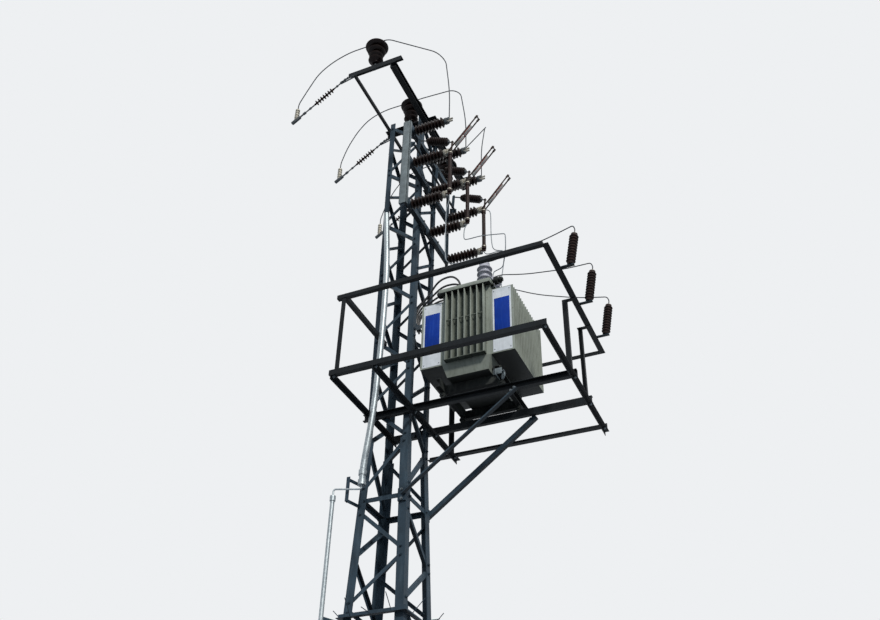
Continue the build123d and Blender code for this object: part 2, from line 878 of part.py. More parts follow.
def link(centre_a, centre_b, width, thickness, y, bore=0.0):
    """Flat link with round ends in the XZ plane, from y towards +Y."""
    run = Vector(*centre_b) - Vector(*centre_a)
    turn = degrees(atan2(run.Z, run.X))
    middle = (Vector(*centre_a) + Vector(*centre_b)) * 0.5
    with BuildPart() as piece:
        with BuildSketch(Plane.XZ.offset(-y - thickness)):
            with Locations((middle.X, middle.Z)):
                SlotCenterToCenter(run.length, width, rotation=turn)
            if bore:
                with Locations((centre_b[0], centre_b[2])):
                    Circle(bore, mode=Mode.SUBTRACT)
        extrude(amount=thickness)
    return piece.part


def pin(x, z, radius, y_low, y_high):
    """Round pin along Y."""
    with BuildPart() as piece:
        with BuildSketch(Plane.XZ.offset(-y_high)):
            with Locations((x, z)):
                Circle(radius)
        extrude(amount=y_high - y_low)
    return piece.part


def blade(y):
    hinge = Vector(hinge_x, 0, hinge_z)
    tip = hinge + blade_dir * blade_radius
    lever = hinge + lever_dir * lever_radius
    with BuildPart() as piece:
        add(link(tuple(hinge), tuple(tip), blade_bar_width, blade_bar_thickness, y + blade_gap / 2))
        add(link(tuple(hinge), tuple(tip), blade_bar_width, blade_bar_thickness, y - blade_outer))
        add(pin(hinge.X, hinge.Z, hinge_pin_radius, y - blade_outer, y + blade_outer))
        add(pin(tip.X, tip.Z, hinge_pin_radius, y - blade_outer, y + blade_outer))
        add(link(tuple(hinge), tuple(lever), lever_width, lever_thickness, y + lever_y))
        add(pin(lever.X, lever.Z, rod_pin_radius, y + lever_y, y + rod_y + rod_eye_thickness + 4))
    return piece.part


with BuildPart() as contact_blades:
    for y in pole_y:
        add(blade(y))
save(contact_blades.part, "contact_blades")

shaft_x = hinge_x + shaft_offset_x
shaft_z = hinge_z + shaft_offset_z
rod_run = hypot(shaft_offset_x, shaft_offset_z)
rod_body = shedded(
    rod_run * (rod_body_end - rod_body_start), rod_core * 1.6, rod_body_radius, rod_sheds, 14, 14)


def drive_rod(y):
    """Insulated link from a crank to a blade's lever."""
    start = Vector(shaft_x, y + rod_y + rod_eye_thickness / 2, shaft_z) + lever_dir * lever_radius
    end = Vector(hinge_x, y + rod_y + rod_eye_thickness / 2, hinge_z) + lever_dir * lever_radius
    run = (end - start).normalized()
    eye_low = y + rod_y
    with BuildPart() as piece:
        for centre in (start, end):
            add(pin(centre.X, centre.Z, rod_eye_radius, eye_low, eye_low + rod_eye_thickness))
        with BuildSketch(Plane(origin=start + run * rod_eye_radius * 0.6, z_dir=run)):
            Circle(rod_eye_thickness / 2 - 0.5)
        extrude(amount=rod_run - rod_eye_radius * 1.2)
        add(rod_body.moved(Plane(origin=start + run * (rod_run * rod_body_start), z_dir=run).location))
        for centre in (start, end):
            add(pin(centre.X, centre.Z, rod_pin_radius + pin_clearance, eye_low - 1, eye_low + rod_eye_thickness + 1),
                mode=Mode.SUBTRACT)
    return piece.part


with BuildPart() as insulated_rods:
    for y in pole_y:
        add(drive_rod(y))
save(insulated_rods.part, "insulated_rods")

bearing_near_y = frame_near_y + frame_flange
bearing_far_y = frame_far_y - frame_flange
crank = Vector(shaft_x, 0, shaft_z) + lever_dir * lever_radius

with BuildPart() as drive_shaft:
    add(pin(shaft_x, shaft_z, shaft_radius, bearing_near_y - shaft_overrun, bearing_far_y + shaft_overrun))
    for y in pole_y:
        add(link((shaft_x, 0, shaft_z), tuple(crank), 1.6 * lever_width, lever_thickness, y + lever_y))
        add(pin(crank.X, crank.Z, rod_pin_radius, y + lever_y, y + rod_y + rod_eye_thickness + 4))
save(drive_shaft.part, "drive_shaft")

bearing_low_x = mast_face + frame_channel - 40
with BuildPart() as shaft_bearings:
    for y in (bearing_near_y, bearing_far_y - bearing_thickness):
        with BuildSketch(Plane.XZ.offset(-y - bearing_thickness)):
            with BuildLine():
                Polyline(
                    (bearing_low_x, shaft_z - 70), (shaft_x + bearing_margin, shaft_z - bearing_margin * 1.4),
                    (shaft_x + bearing_margin, shaft_z + bearing_margin * 1.4), (bearing_low_x, shaft_z + 70),
                    close=True,
                )
            make_face()
            with Locations((shaft_x, shaft_z)):
                Circle(shaft_radius + pin_clearance, mode=Mode.SUBTRACT)
        extrude(amount=bearing_thickness)
save(shaft_bearings.part, "shaft_bearings")

# fuses

fuse_top = hinge_z - 22
fuse_bottom = lower_z
with BuildPart() as fuse_tubes:
    for y in pole_y:
        with BuildSketch(Plane.XY.offset(lower_z - 20)):
            with Locations((insulator_root + post_reach + terminal_reach / 2 + 12, y)):
                Rectangle(terminal_reach + 24, 2 * plate_half)
        extrude(amount=40)
        with BuildSketch(Plane.XY.offset(lower_z + 20)):
            with Locations((hinge_x, y)):
                Circle(fuse_radius)
        extrude(amount=fuse_top - lower_z - 20)
        for z in (lower_z + 20, fuse_top - fuse_cap_height):
            with BuildSketch(Plane.XY.offset(z)):
                with Locations((hinge_x, y)):
                    Circle(fuse_cap_radius)
            extrude(amount=fuse_cap_height)
save(fuse_tubes.part, "fuse_tubes")

# crossarm

arm_top = mast_height - arm_drop
save(bar(angle_section(arm_left_size, arm_left_thickness), (-mast_face, arm_far_y, arm_top),
         (-mast_face, arm_near_y, arm_top), (-1, 0, 0)),
     "crossarm_left")
save(bar(channel_section(arm_right_height, arm_right_width, arm_right_web),
         (mast_face, arm_far_y, arm_top - arm_right_height / 2),
         (mast_face, arm_near_y, arm_top - arm_right_height / 2), (1, 0, 0)),
     "crossarm_right")

# Three bars along X on top of the arms, each with one flange level and one hanging at its outer side
crossbar_top = arm_top + crossbar_size
crossbar_edges = ((arm_near_y, 1), (crossbar_middle_y + crossbar_size, -1), (arm_far_y, -1))
crossbar_y = [edge_y + side * crossbar_size / 2 for edge_y, side in crossbar_edges]
flange_y = [edge_y + side * crossbar_thickness / 2 for edge_y, side in crossbar_edges]
with BuildPart() as crossarm_bars:
    for edge_y, side in crossbar_edges:
        start_x = crossbar_left if side < 0 else crossbar_right
        run = -side * (crossbar_right - crossbar_left)
        with BuildSketch(Plane(origin=(start_x, edge_y, crossbar_top), x_dir=(0, side, 0), z_dir=(run, 0, 0))):
            add(angle_section(crossbar_size, crossbar_thickness))
        extrude(amount=abs(run))
save(crossarm_bars.part, "crossarm_bars")

# Pin insulators: bell-shaped sheds that grow upward, a neck and a grooved crown on a steel stem
pin_pitch = pin_insulator_height / (len(pin_insulator_rims) + 1)
pin_profile = [(0, 0), (pin_insulator_core, 0)]
for index, rim in enumerate(pin_insulator_rims):
    low = index * pin_pitch
    pin_profile += [
        (pin_insulator_core, low + 0.3 * pin_pitch), (rim - 12, low + 0.55 * pin_pitch),
        (rim, low + 0.75 * pin_pitch), (0.5 * (rim + pin_insulator_core), low + 1.05 * pin_pitch),
    ]
crown_low = len(pin_insulator_rims) * pin_pitch
pin_profile += [
    (0.8 * pin_insulator_crown, crown_low + 0.25 * pin_pitch), (pin_insulator_crown, crown_low + 0.45 * pin_pitch),
    (pin_insulator_crown, pin_insulator_height), (0, pin_insulator_height),
]
with BuildPart() as pin_body:
    with BuildSketch(Plane.XZ):
        with BuildLine():
            Polyline(*pin_profile, close=True)
        make_face()
    revolve(axis=Axis.Z)
    with BuildSketch(Plane.YZ.offset(-pin_insulator_crown)):
        with Locations((0, pin_insulator_height)):
            Circle(pin_groove)
    extrude(amount=2 * pin_insulator_crown, mode=Mode.SUBTRACT)
pin_top = crossbar_top + pin_stem_height + pin_insulator_height
with BuildPart() as pin_insulators:
    for y in crossbar_y:
        with BuildSketch(Plane.XY.offset(crossbar_top)):
            with Locations((0, y)):
                Circle(pin_stem_radius)
        extrude(amount=pin_stem_height)
        with Locations((0, y, crossbar_top + pin_stem_height)):
            add(pin_body.part)
save(pin_insulators.part, "pin_insulators")

string_length = hypot(string_run, string_fall)
string_dir = Vector(-string_run, 0, -string_fall).normalized()
string_body = shedded(
    string_length - 2 * string_fitting, string_core, string_radius, string_sheds, 10, 10)
string_rod = string_core * 0.8
string_seat = string_rod * string_fall / string_length + seat_clearance
string_starts = [Vector(crossbar_left - string_seat, y, arm_top + crossbar_size / 4) for y in flange_y]
clamp_points = [start + string_dir * (string_length + clamp_length / 2) for start in string_starts]
with BuildPart() as tension_strings:
    for start, clamp in zip(string_starts, clamp_points):
        with BuildSketch(Plane(origin=start, z_dir=string_dir)):
            Circle(string_rod)
        extrude(amount=string_length)
        body = Plane(origin=start + string_dir * string_fitting, z_dir=string_dir)
        add(string_body.moved(body.location))
        with BuildSketch(Plane(origin=start + string_dir * string_length, z_dir=string_dir)):
            Circle(clamp_radius)
        extrude(amount=clamp_length)
        with BuildSketch(Plane(origin=clamp)):
            Circle(clamp_barrel_radius)
        extrude(amount=clamp_barrel_height)
save(tension_strings.part, "tension_strings")

# surge arresters

arrester_x = rail_right_x + rail_right_size + arrester_reach
arrester_z = rail_base + rail_size
arrester_body = shedded(
    arrester_height, arrester_core, arrester_radius, arrester_sheds, 30, 30)
arrester_tilt = radians(arrester_lean)
arrester_seat = arrester_z + arrester_bracket_thickness + arrester_core * sin(arrester_tilt) + seat_clearance
arrester_y = [arrester_first_y + index * arrester_pitch for index in range(3)]

with BuildPart() as arrester_brackets:
    bracket_end = arrester_x + arrester_bracket_end
    for y in arrester_y:
        with BuildSketch(Plane.XY.offset(arrester_z)):
            with Locations(((rail_right_x + bracket_end) / 2, y)):
                Rectangle(bracket_end - rail_right_x, arrester_bracket)
        extrude(amount=arrester_bracket_thickness)
save(arrester_brackets.part, "arrester_brackets")

with BuildPart() as surge_arresters:
    for y in arrester_y:
        with Locations(Location((arrester_x, y, arrester_seat), (0, arrester_lean, 0))):
            add(arrester_body)
save(surge_arresters.part, "surge_arresters")

# cable pipes

pipe_top = mast_height - pipe_top_drop
pipe_foot_x, pipe_bottom = pipe_stations[0]
pipe_line = [(x, pipe_y, z) for x, z in pipe_stations] + [(pipe_head_x, pipe_y, pipe_top)]

with BuildPart() as cable_pipe:
    add(lead(pipe_line, pipe_radius))
    for offset in (0, 2 * pipe_fitting_height):
        with BuildSketch(Plane.XY.offset(pipe_bottom + offset)):
            with Locations((pipe_foot_x, pipe_y)):
                Circle(pipe_radius + pipe_fitting)
        extrude(amount=pipe_fitting_height)
save(cable_pipe.part, "cable_pipe")

link_z = outer_pipe_top + link_tube_rise
with BuildPart() as outer_pipe:
    with BuildSketch(Plane.XY.offset(footing_height)):
        with Locations((outer_pipe_x, outer_pipe_y)):
            Circle(outer_pipe_radius)
    extrude(amount=outer_pipe_top - footing_height)
    with BuildSketch(Plane.XY.offset(outer_pipe_top - pipe_fitting_height)):
        with Locations((outer_pipe_x, outer_pipe_y)):
            Circle(outer_pipe_radius + pipe_fitting)
    extrude(amount=pipe_fitting_height)
    with BuildLine():
        FilletPolyline(
            (outer_pipe_x, outer_pipe_y, outer_pipe_top), (outer_pipe_x, outer_pipe_y, link_z),
            (pipe_foot_x, pipe_y, link_z), (pipe_foot_x, pipe_y, pipe_bottom - seat_clearance),
            radius=link_tube_bend,
        )
    with BuildSketch(Plane.XY.offset(outer_pipe_top)):
        with Locations((outer_pipe_x, outer_pipe_y)):
            Circle(link_tube_radius)
    sweep()
save(outer_pipe.part, "outer_pipe")


def flat_arm(z, end_x, end_y, room, inset):
    """Level flat bar from the near left leg towards an upright at (end_x, end_y)."""
    face = half_width(z)
    start = Vector(inset - face, leg_thickness - face, z)
    run = Vector(end_x, end_y, z) - start
    with BuildPart() as piece:
        with BuildSketch(Plane(origin=start, x_dir=(0, 0, 1), z_dir=run)):
            Rectangle(pipe_arm, pipe_arm_thickness)
        extrude(amount=run.length - room)
        add(mast_envelope.part, mode=Mode.SUBTRACT)
    return piece.part


with BuildPart() as pipe_brackets:
    for z in pipe_arm_levels:
        add(flat_arm(z, outer_pipe_x, outer_pipe_y, outer_pipe_radius + seat_clearance, leg_thickness))
    for x, z in ((pipe_foot_x, pipe_bottom + pipe_clip_low), (pipe_head_x, pipe_top - pipe_clip_high)):
        add(flat_arm(z, x, pipe_y, pipe_radius + pipe_fitting, leg_flange_high / 2))
    for z in (stay_bar_low + pipe_arm / 2, stay_bar_low + stay_bar_length - pipe_arm / 2):
        add(flat_arm(z, stay_bar_x, stay_bar_y, stay_bar_thickness / 2, stay_arm_inset))
    with BuildSketch(Plane(origin=(stay_bar_x, stay_bar_y, stay_bar_low))):
        add(angle_section(stay_bar_size, stay_bar_thickness))
    extrude(amount=stay_bar_length)
save(pipe_brackets.part, "pipe_brackets")

# bare conductors: clamp to pin insulator to switch, fuse to bushing, bushing to arrester

lead_seat_x = insulator_root + post_reach + terminal_reach / 2
contact_top = upper_z + contact_lip + seat_clearance
groove_z = pin_top - pin_groove + lead_radius + seat_clearance
with BuildPart() as line_leads:
    for clamp, y, pole, corner, knee in zip(clamp_points, crossbar_y, pole_y, line_corners, line_knees):
        barrel = clamp + Vector(0, 0, clamp_barrel_height + seat_clearance)
        add(lead([
            barrel, barrel + Vector(0, 0, 110), Vector(-1020, 0.5 * (y + barrel.Y), groove_z - 530),
            Vector(-880, 0.5 * (y + barrel.Y), groove_z - 250), Vector(-690, y, groove_z - 70),
            Vector(-430, y, groove_z + 12), Vector(-pin_insulator_crown * 2, y, groove_z),
            Vector(pin_insulator_crown * 2, y, groove_z),
            Vector(pin_insulator_crown * 3, y + 0.05 * (corner[1] - y), groove_z), Vector(*corner, groove_z + 5),
            Vector(*knee, groove_z - 120), Vector(lead_seat_x, pole, groove_z - 750),
            Vector(lead_seat_x, pole, contact_top),
        ], lead_radius))
save(line_leads.part, "line_leads")

fuse_foot_x = insulator_root + post_reach + terminal_reach
fuse_foot = lower_z - 20 - seat_clearance
bushing_top = lid_top + bushing_height + seat_clearance
with BuildPart() as bushing_leads:
    for pole, y in zip(pole_y, bushing_y):
        add(lead([
            Vector(fuse_foot_x, pole, fuse_foot), Vector(fuse_foot_x, pole, fuse_foot - 150),
            Vector(fuse_foot_x + 60, pole, fuse_foot - 240),
            Vector(bushing_lead_x - 60, pole + 0.8 * (y - pole), fuse_foot - 230),
            Vector(bushing_lead_x, y, fuse_foot - 300), Vector(bushing_lead_x, y, bushing_top + 170),
            Vector(bushing_line, y, bushing_top + 120), Vector(bushing_line, y, bushing_top),
        ], lead_radius))
save(bushing_leads.part, "bushing_leads")

arrester_axis = Vector(sin(arrester_tilt), 0, cos(arrester_tilt))
with BuildPart() as arrester_leads:
    for y, end_y in zip(bushing_y, arrester_y):
        end = Vector(arrester_x, end_y, arrester_seat) + arrester_axis * (arrester_height + seat_clearance)
        start = Vector(bushing_line + bushing_stud + seat_clearance, y, bushing_top - bushing_stud / 2)
        add(lead([
            start, start + Vector(90, 0, 0),
            Vector(bushing_line + 420, y + 0.35 * (end_y - y), bushing_top - 140),
            Vector(arrester_x - 260, y + 0.75 * (end_y - y), bushing_top - 260),
            end + arrester_axis * 110 - Vector(30, 0, 0), end + arrester_axis * 50, end,
        ], lead_radius))
save(arrester_leads.part, "arrester_leads")

# low-voltage cables: up from the lid, over the fins and down inside the mast to the cleat bar

cable_x = cleat_x - cable_radius - seat_clearance
low_top = lid_top + low_bushing_height + seat_clearance
with BuildPart() as low_voltage_cables:
    for index, y in enumerate(low_y):
        run_y = (index - (cable_count - 1) / 2) * cable_spacing
        add(lead([
            Vector(low_line, y, low_top), Vector(low_line, y, low_top + 170),
            Vector(low_line - 110, y + 0.1 * (run_y - y), low_top + 310),
            Vector(low_line - 300, y + 0.4 * (run_y - y), low_top + 330),
            Vector(cable_x + 170, y + 0.9 * (run_y - y), cleat_level + 370),
            Vector(cable_x + 40, run_y, cleat_level + 230), Vector(cable_x, run_y, cleat_level + 130),
            Vector(cable_x, run_y, cleat_level - cable_tail),
        ], cable_radius))
save(low_voltage_cables.part, "low_voltage_cables")
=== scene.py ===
"""Finishes, turned insulators, bolts, signs, trim, light and camera for a mast with a power transformer."""

from math import cos, hypot, pi, radians, sin

import bmesh
import bpy
from bpy.props import FloatProperty, FloatVectorProperty, IntProperty, PointerProperty
from bpy.types import Operator, Panel, PropertyGroup
from mathutils import Matrix, Vector


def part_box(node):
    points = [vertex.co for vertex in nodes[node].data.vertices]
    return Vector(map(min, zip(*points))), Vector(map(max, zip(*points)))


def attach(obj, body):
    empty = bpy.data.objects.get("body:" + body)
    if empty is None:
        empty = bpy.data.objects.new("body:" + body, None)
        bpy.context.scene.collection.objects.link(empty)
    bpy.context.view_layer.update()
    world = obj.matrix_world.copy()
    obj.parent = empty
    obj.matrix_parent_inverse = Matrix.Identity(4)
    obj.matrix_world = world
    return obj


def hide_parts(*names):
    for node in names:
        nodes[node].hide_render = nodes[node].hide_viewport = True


bl_info = {
    "name": "Transformer mast",
    "version": (1, 0, 0),
    "blender": (4, 5, 0),
    "location": "3D View > Sidebar > Mast",
    "description": "Dresses the packed mast, its transformer and its switch for a picture",
    "category": "Object",
}

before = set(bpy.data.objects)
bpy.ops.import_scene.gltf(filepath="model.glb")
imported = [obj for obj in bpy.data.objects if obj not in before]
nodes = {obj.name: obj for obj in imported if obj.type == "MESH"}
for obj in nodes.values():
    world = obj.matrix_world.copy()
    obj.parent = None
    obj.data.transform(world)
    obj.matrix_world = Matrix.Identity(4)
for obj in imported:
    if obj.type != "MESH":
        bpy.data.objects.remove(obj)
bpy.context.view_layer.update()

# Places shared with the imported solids, in metres: first the mast
HALF_HEAD = 0.25
HALF_BASE = 0.47
FOOT_LEVEL = 0.31
RING_LEVEL = 5.46
RING_HALF = 0.1
SHAFT_TOP = 6.14
MAST_TOP = 11.26
SHAFT_PANELS = 10
HEAD_PANELS = 11
BRACE_GAP = 0.034
SHAFT_FLANGE = 0.09
HEAD_FLANGE = 0.07

# The platform, the crossarm and what stands on them
BEAM_UNDERSIDE = 6.405
BEAM_CROSSINGS = (-0.145, 0.335, 2.105)
BEAM_LINES = (-1.20, -0.272, 0.272, 0.805)
CROSSBARS = (-1.23, -0.13, 1.13)
CROSSBAR_TOP = 11.25
STRINGS = (-1.266, -0.094, 1.166)
STRING_HOOK = (-0.381, 11.19)
STRAP_HEAD = (-0.29, 11.164)
ARRESTERS = (-0.75, -0.09, 0.57)

# The switch: its three poles, the hinge line, the drive shaft, and how its arms stand at rest
POLES = (-0.64, -0.08, 0.48)
RAIL_LEVELS = (9.21, 9.94, 10.535)
HINGE = Vector((0.85, 0.0, 9.86))
SHAFT = Vector((0.387, 0.0, 10.09))
BLADE = 0.595
BLADE_OPEN = radians(38.7)
BLADE_REACH = Vector((sin(BLADE_OPEN), 0, cos(BLADE_OPEN)))
LEVER = 0.2
LEVER_ANGLE = radians(86.3)
LEVER_REACH = Vector((cos(LEVER_ANGLE), 0, sin(LEVER_ANGLE)))
ROD_OFFSET = 0.039

# The photograph's viewpoint, near the foot of the mast and looking up
EYE = Vector((4.1016, -7.88, 1.246))
YAW, PITCH, ROLL = radians(24.755), radians(37.596), radians(1.445)
PICTURE_WIDTH = 880
FOCAL_PIXELS = 924.33
SENSOR = 36


def linear(colour):
    """Linear RGBA of an sRGB hex colour."""
    channels = [int(colour[i:i + 2], 16) / 255 for i in (1, 3, 5)]
    return tuple(c / 12.92 if c <= 0.04045 else ((c + 0.055) / 1.055) ** 2.4 for c in channels) + (1.0,)


class MAST_PG_sizes(PropertyGroup):
    """Sizes of what the scene adds"""
    bolt_across: FloatProperty(
        name="Bolt width", description="Width across the corners of a lattice bolt's head",
        default=0.027, min=0.01, max=0.06, unit="LENGTH")
    lid_bolt_pitch: FloatProperty(
        name="Lid bolt pitch", description="Distance between the bolts round the tank's lid",
        default=0.085, min=0.03, max=0.3, unit="LENGTH")
    wire_thickness: FloatProperty(
        name="Wire thickness", description="Diameter of the wires from the fuses to the bushings",
        default=0.012, min=0.004, max=0.03, unit="LENGTH")
    end_fins: IntProperty(
        name="End fins", description="Fins on each end wall of the tank", default=7, min=3, max=15)
    turned_steps: IntProperty(
        name="Turned steps", description="Steps round each turned insulator", default=36, min=12, max=96)


def tint(name, description, colour):
    """Colour setting for the panel."""
    return FloatVectorProperty(name=name, description=description, subtype="COLOR", size=4, min=0, max=1,
                               default=linear(colour))


class MAST_PG_finishes(PropertyGroup):
    """Main colours of the paint, zinc and glaze"""
    lattice: tint("Lattice paint", "Weathered paint of the mast and platform", "#2f3f4b")
    switch_frame: tint("Switch frame zinc", "Dull zinc of the switch frame", "#757f82")
    tank: tint("Tank enamel", "Grey-green enamel of the transformer tank", "#90968c")
    porcelain: tint("Brown porcelain", "Salt glaze of the post and pin insulators", "#1b0f0d")
    bushing: tint("Bushing porcelain", "Pale glaze of the high-voltage bushings", "#a8a8b0")
    sign: tint("Sign panel", "Blue enamel of the sign panels", "#08338f")


# Materials

finishes = {}


def put(tree, kind, inputs=None, **settings):
    """Add a node with its settings; an input takes a value or another node's output."""
    node = tree.nodes.new(kind)
    for name, value in settings.items():
        setattr(node, name, value)
    for socket, value in (inputs or {}).items():
        if isinstance(value, bpy.types.NodeSocket):
            tree.links.new(value, node.inputs[socket])
        else:
            node.inputs[socket].default_value = value
    return node


def lay_over(tree, under, over, value, low, high, share):
    """Lay a colour over another where a value goes from low to high, up to a share."""
    mask = put(tree, "ShaderNodeMapRange",
               {"Value": value, "From Min": low, "From Max": high, "To Max": share})
    # 6 and 7 are the mix's colour inputs, and its output 2 is their result
    mixed = put(tree, "ShaderNodeMix", {0: mask.outputs["Result"], 6: under, 7: over}, data_type="RGBA")
    return mixed.outputs[2]


def coat(name, base, patch, patch_mm, streak=None, streak_mm=60, streak_share=0.5, grain_mm=3.0, bump_mm=0.2,
         metallic=0.0, roughness=0.5, rough_spread=0.12, gloss=0.0, spots=None, spots_mm=30, underside_shade=0.0,
         shine=0.5):
    """Finish with patches, run-off streaks down Z, spots, painted shade on the undersides and grain, in
    millimetres.
    """
    # The colours of the panel are linear already
    base, patch, streak, spots = (linear(shade) if isinstance(shade, str) else shade
                                  for shade in (base, patch, streak, spots))
    material = bpy.data.materials.new(name)
    material.use_nodes = True
    tree = material.node_tree
    shader = tree.nodes["Principled BSDF"]
    source = put(tree, "ShaderNodeTexCoord")
    place = source.outputs["Object"]
    patches = put(tree, "ShaderNodeTexNoise",
                  {"Vector": place, "Scale": 1000 / patch_mm, "Detail": 5.0, "Roughness": 0.6})
    tone = put(tree, "ShaderNodeValToRGB", {"Fac": patches.outputs["Fac"]})
    for stop, position, shade in zip(tone.color_ramp.elements, (0.35, 0.65), (patch, base)):
        stop.position = position
        stop.color = shade
    colour = tone.outputs["Color"]
    if streak:
        drawn = put(tree, "ShaderNodeMapping", {"Vector": place, "Scale": (1.0, 1.0, 0.08)})
        runs = put(tree, "ShaderNodeTexNoise",
                   {"Vector": drawn.outputs["Vector"], "Scale": 1000 / streak_mm, "Detail": 6.0,
                    "Roughness": 0.65})
        colour = lay_over(tree, colour, streak, runs.outputs["Fac"], 0.5, 0.72, streak_share)
    if spots:
        blotch = put(tree, "ShaderNodeTexNoise",
                     {"Vector": place, "Scale": 1000 / spots_mm, "Detail": 8.0, "Roughness": 0.7})
        colour = lay_over(tree, colour, spots, blotch.outputs["Fac"], 0.62, 0.72, 0.85)
    # Painted shade: faces that look down are darkened towards near black, as if they lay in shadow
    if underside_shade:
        facing = put(tree, "ShaderNodeSeparateXYZ", {"Vector": source.outputs["Normal"]})
        colour = lay_over(tree, colour, linear("#0b0c0d"), facing.outputs["Z"], -0.25, -0.85, underside_shade)
    # The real grain is finer; at 2 mm or more it still shows from the ground
    grain = put(tree, "ShaderNodeTexNoise",
                {"Vector": place, "Scale": 1000 / grain_mm, "Detail": 3.0, "Roughness": 0.5})
    rough = put(tree, "ShaderNodeMapRange",
                {"Value": patches.outputs["Fac"], "To Min": roughness - rough_spread,
                 "To Max": roughness + rough_spread})
    bump = put(tree, "ShaderNodeBump",
               {"Height": grain.outputs["Fac"], "Strength": 0.5, "Distance": bump_mm / 1000})
    tree.links.new(colour, shader.inputs["Base Color"])
    tree.links.new(rough.outputs["Result"], shader.inputs["Roughness"])
    tree.links.new(bump.outputs["Normal"], shader.inputs["Normal"])
    shader.inputs["Metallic"].default_value = metallic
    shader.inputs["Coat Weight"].default_value = gloss
    shader.inputs["Coat Roughness"].default_value = 0.12
    shader.inputs["Specular IOR Level"].default_value = shine
    finishes[name] = material


def darker(colour, share):
    """Colour scaled down in linear light."""
    return tuple(c * share for c in colour[:3]) + (1.0,)


class MAST_OT_finishes(Operator):
    """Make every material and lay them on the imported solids"""
    bl_idname = "mast.finishes"
    bl_label = "Lay finishes"

    def execute(self, context):
        chosen = context.scene.mast_finishes
        # Angle bars under dark alkyd paint over zinc: dull, with paler worn patches and grey run-off, and
        # painted shade on the faces that look down
        coat("painted_angle", chosen.lattice, darker(chosen.lattice, 0.6), 260, "#55646d", 45, 0.35,
             grain_mm=4, bump_mm=0.3, roughness=0.6, spots="#4d4037", spots_mm=26, underside_shade=0.8, shine=0.2)
        # Bars of the platform and its rails: the same paint, darkened nearly to black as painted shade
        coat("shaded_angle", "#14191d", "#0c0f12", 240, "#2a3136", 45, 0.3, grain_mm=4, bump_mm=0.3,
             roughness=0.6, spots="#2b2420", spots_mm=24, underside_shade=0.75, shine=0.15)
        # Hot-dip galvanised channel gone dull in the weather: light grey, soft sheen, faint patches
        coat("dull_zinc", chosen.switch_frame, darker(chosen.switch_frame, 0.68), 90, "#5c676c", 30, 0.5,
             grain_mm=3, bump_mm=0.15, metallic=0.35, roughness=0.52)
        # Newer galvanised conduit: brighter, with the spangle still showing
        coat("conduit_zinc", "#aab2b5", "#868f94", 22, "#6d767b", 40, 0.4, grain_mm=2, bump_mm=0.1,
             metallic=0.55, roughness=0.42)
        # Air-drying enamel on sheet steel, chalked by the sun, with dark drips below the lid and the fins,
        # and painted shade on the faces that look down
        coat("tank_enamel", chosen.tank, darker(chosen.tank, 0.76), 320, "#5a5d52", 38, 0.5, grain_mm=2.5,
             bump_mm=0.12, roughness=0.48, spots="#5e5140", spots_mm=45, underside_shade=0.95, shine=0.2)
        # The same enamel, darkened nearly to black as painted shade for what stands in shadow under and
        # beside the tank
        coat("shaded_enamel", "#3a3d3b", "#202223", 150, "#55574f", 40, 0.4, grain_mm=3, bump_mm=0.3,
             roughness=0.7, underside_shade=0.9, shine=0.1)
        # Depths between the fins: the enamel darkened as painted shade
        coat("painted_fin_shade", "#565c55", "#41463f", 90, "#6b7068", 25, 0.4, grain_mm=3, bump_mm=0.1,
             roughness=0.7, shine=0.1)
        # Porcelain under brown salt glaze: near black in shade, with a soft shine along each shed
        coat("brown_glaze", chosen.porcelain, "#0f0706", 60, "#31221d", 30, 0.25, grain_mm=8, bump_mm=0.05,
             roughness=0.36, rough_spread=0.06, gloss=0.04, shine=0.1)
        # Porcelain under pale grey glaze, with dust on it
        coat("grey_glaze", chosen.bushing, "#8c8c96", 70, "#75757c", 30, 0.35, grain_mm=8, bump_mm=0.05,
             roughness=0.38, rough_spread=0.06, gloss=0.05)
        # Fuse tubes of resin-bonded paper: reddish brown, dull
        coat("paper_tube", "#231311", "#160b0a", 50, "#34201c", 25, 0.3, grain_mm=3, bump_mm=0.1,
             roughness=0.55, shine=0.15)
        # Moulded silicone rubber housings: matt, dark, slightly dusty
        coat("dark_silicone", "#291a17", "#191110", 50, "#3b2c29", 25, 0.35, grain_mm=3, bump_mm=0.1,
             roughness=0.6, shine=0.15)
        # Tin-plated copper: pale metal dulled by oxide
        coat("tinned_copper", "#a8a498", "#7a766c", 25, grain_mm=2, bump_mm=0.08, metallic=0.4)
        # Bare copper bars under years of brown oxide
        coat("oxidised_copper", "#3b2f28", "#231c19", 25, grain_mm=2, bump_mm=0.08, metallic=0.4,
             roughness=0.55, shine=0.3)
        # Malleable iron fittings, dark with weather
        coat("cast_fitting", "#565b5e", "#36393c", 20, grain_mm=2, bump_mm=0.4, metallic=0.4,
             roughness=0.55)
        # Zinc-plated bolts: small bright points on the dark bars
        coat("bolt_zinc", "#7b8388", "#4c5458", 15, grain_mm=2, bump_mm=0.05, metallic=0.6, roughness=0.45)
        # Vitreous enamel plates: hard white and blue with a slight orange peel
        coat("white_plate", "#d3d7db", "#bfc4c8", 120, "#9a9d9c", 30, 0.35, grain_mm=6, bump_mm=0.05,
             gloss=0.1)
        coat("blue_plate", chosen.sign, darker(chosen.sign, 0.8), 120, "#3b62b4", 30, 0.25, grain_mm=6,
             bump_mm=0.05, roughness=0.55, shine=0.1)
        # Shrink sleeving on the blades: smooth, one off-white and one faded red
        coat("pale_sleeve", "#eae7e0", "#c9c6bf", 30, grain_mm=2, bump_mm=0.1)
        coat("red_sleeve", "#a9342a", "#7c2a23", 30, grain_mm=2, bump_mm=0.1)
        # Extruded PVC sheath of the low-voltage cables: near black, with a soft shine
        coat("cable_sheath", "#1d1e20", "#121315", 60, "#3a3b3d", 40, 0.3, grain_mm=2, bump_mm=0.1,
             roughness=0.42)
        # Round aluminium wire, newer and paler
        coat("pale_wire", "#868d92", "#666d72", 20, grain_mm=3, bump_mm=0.3, metallic=0.3, roughness=0.55)
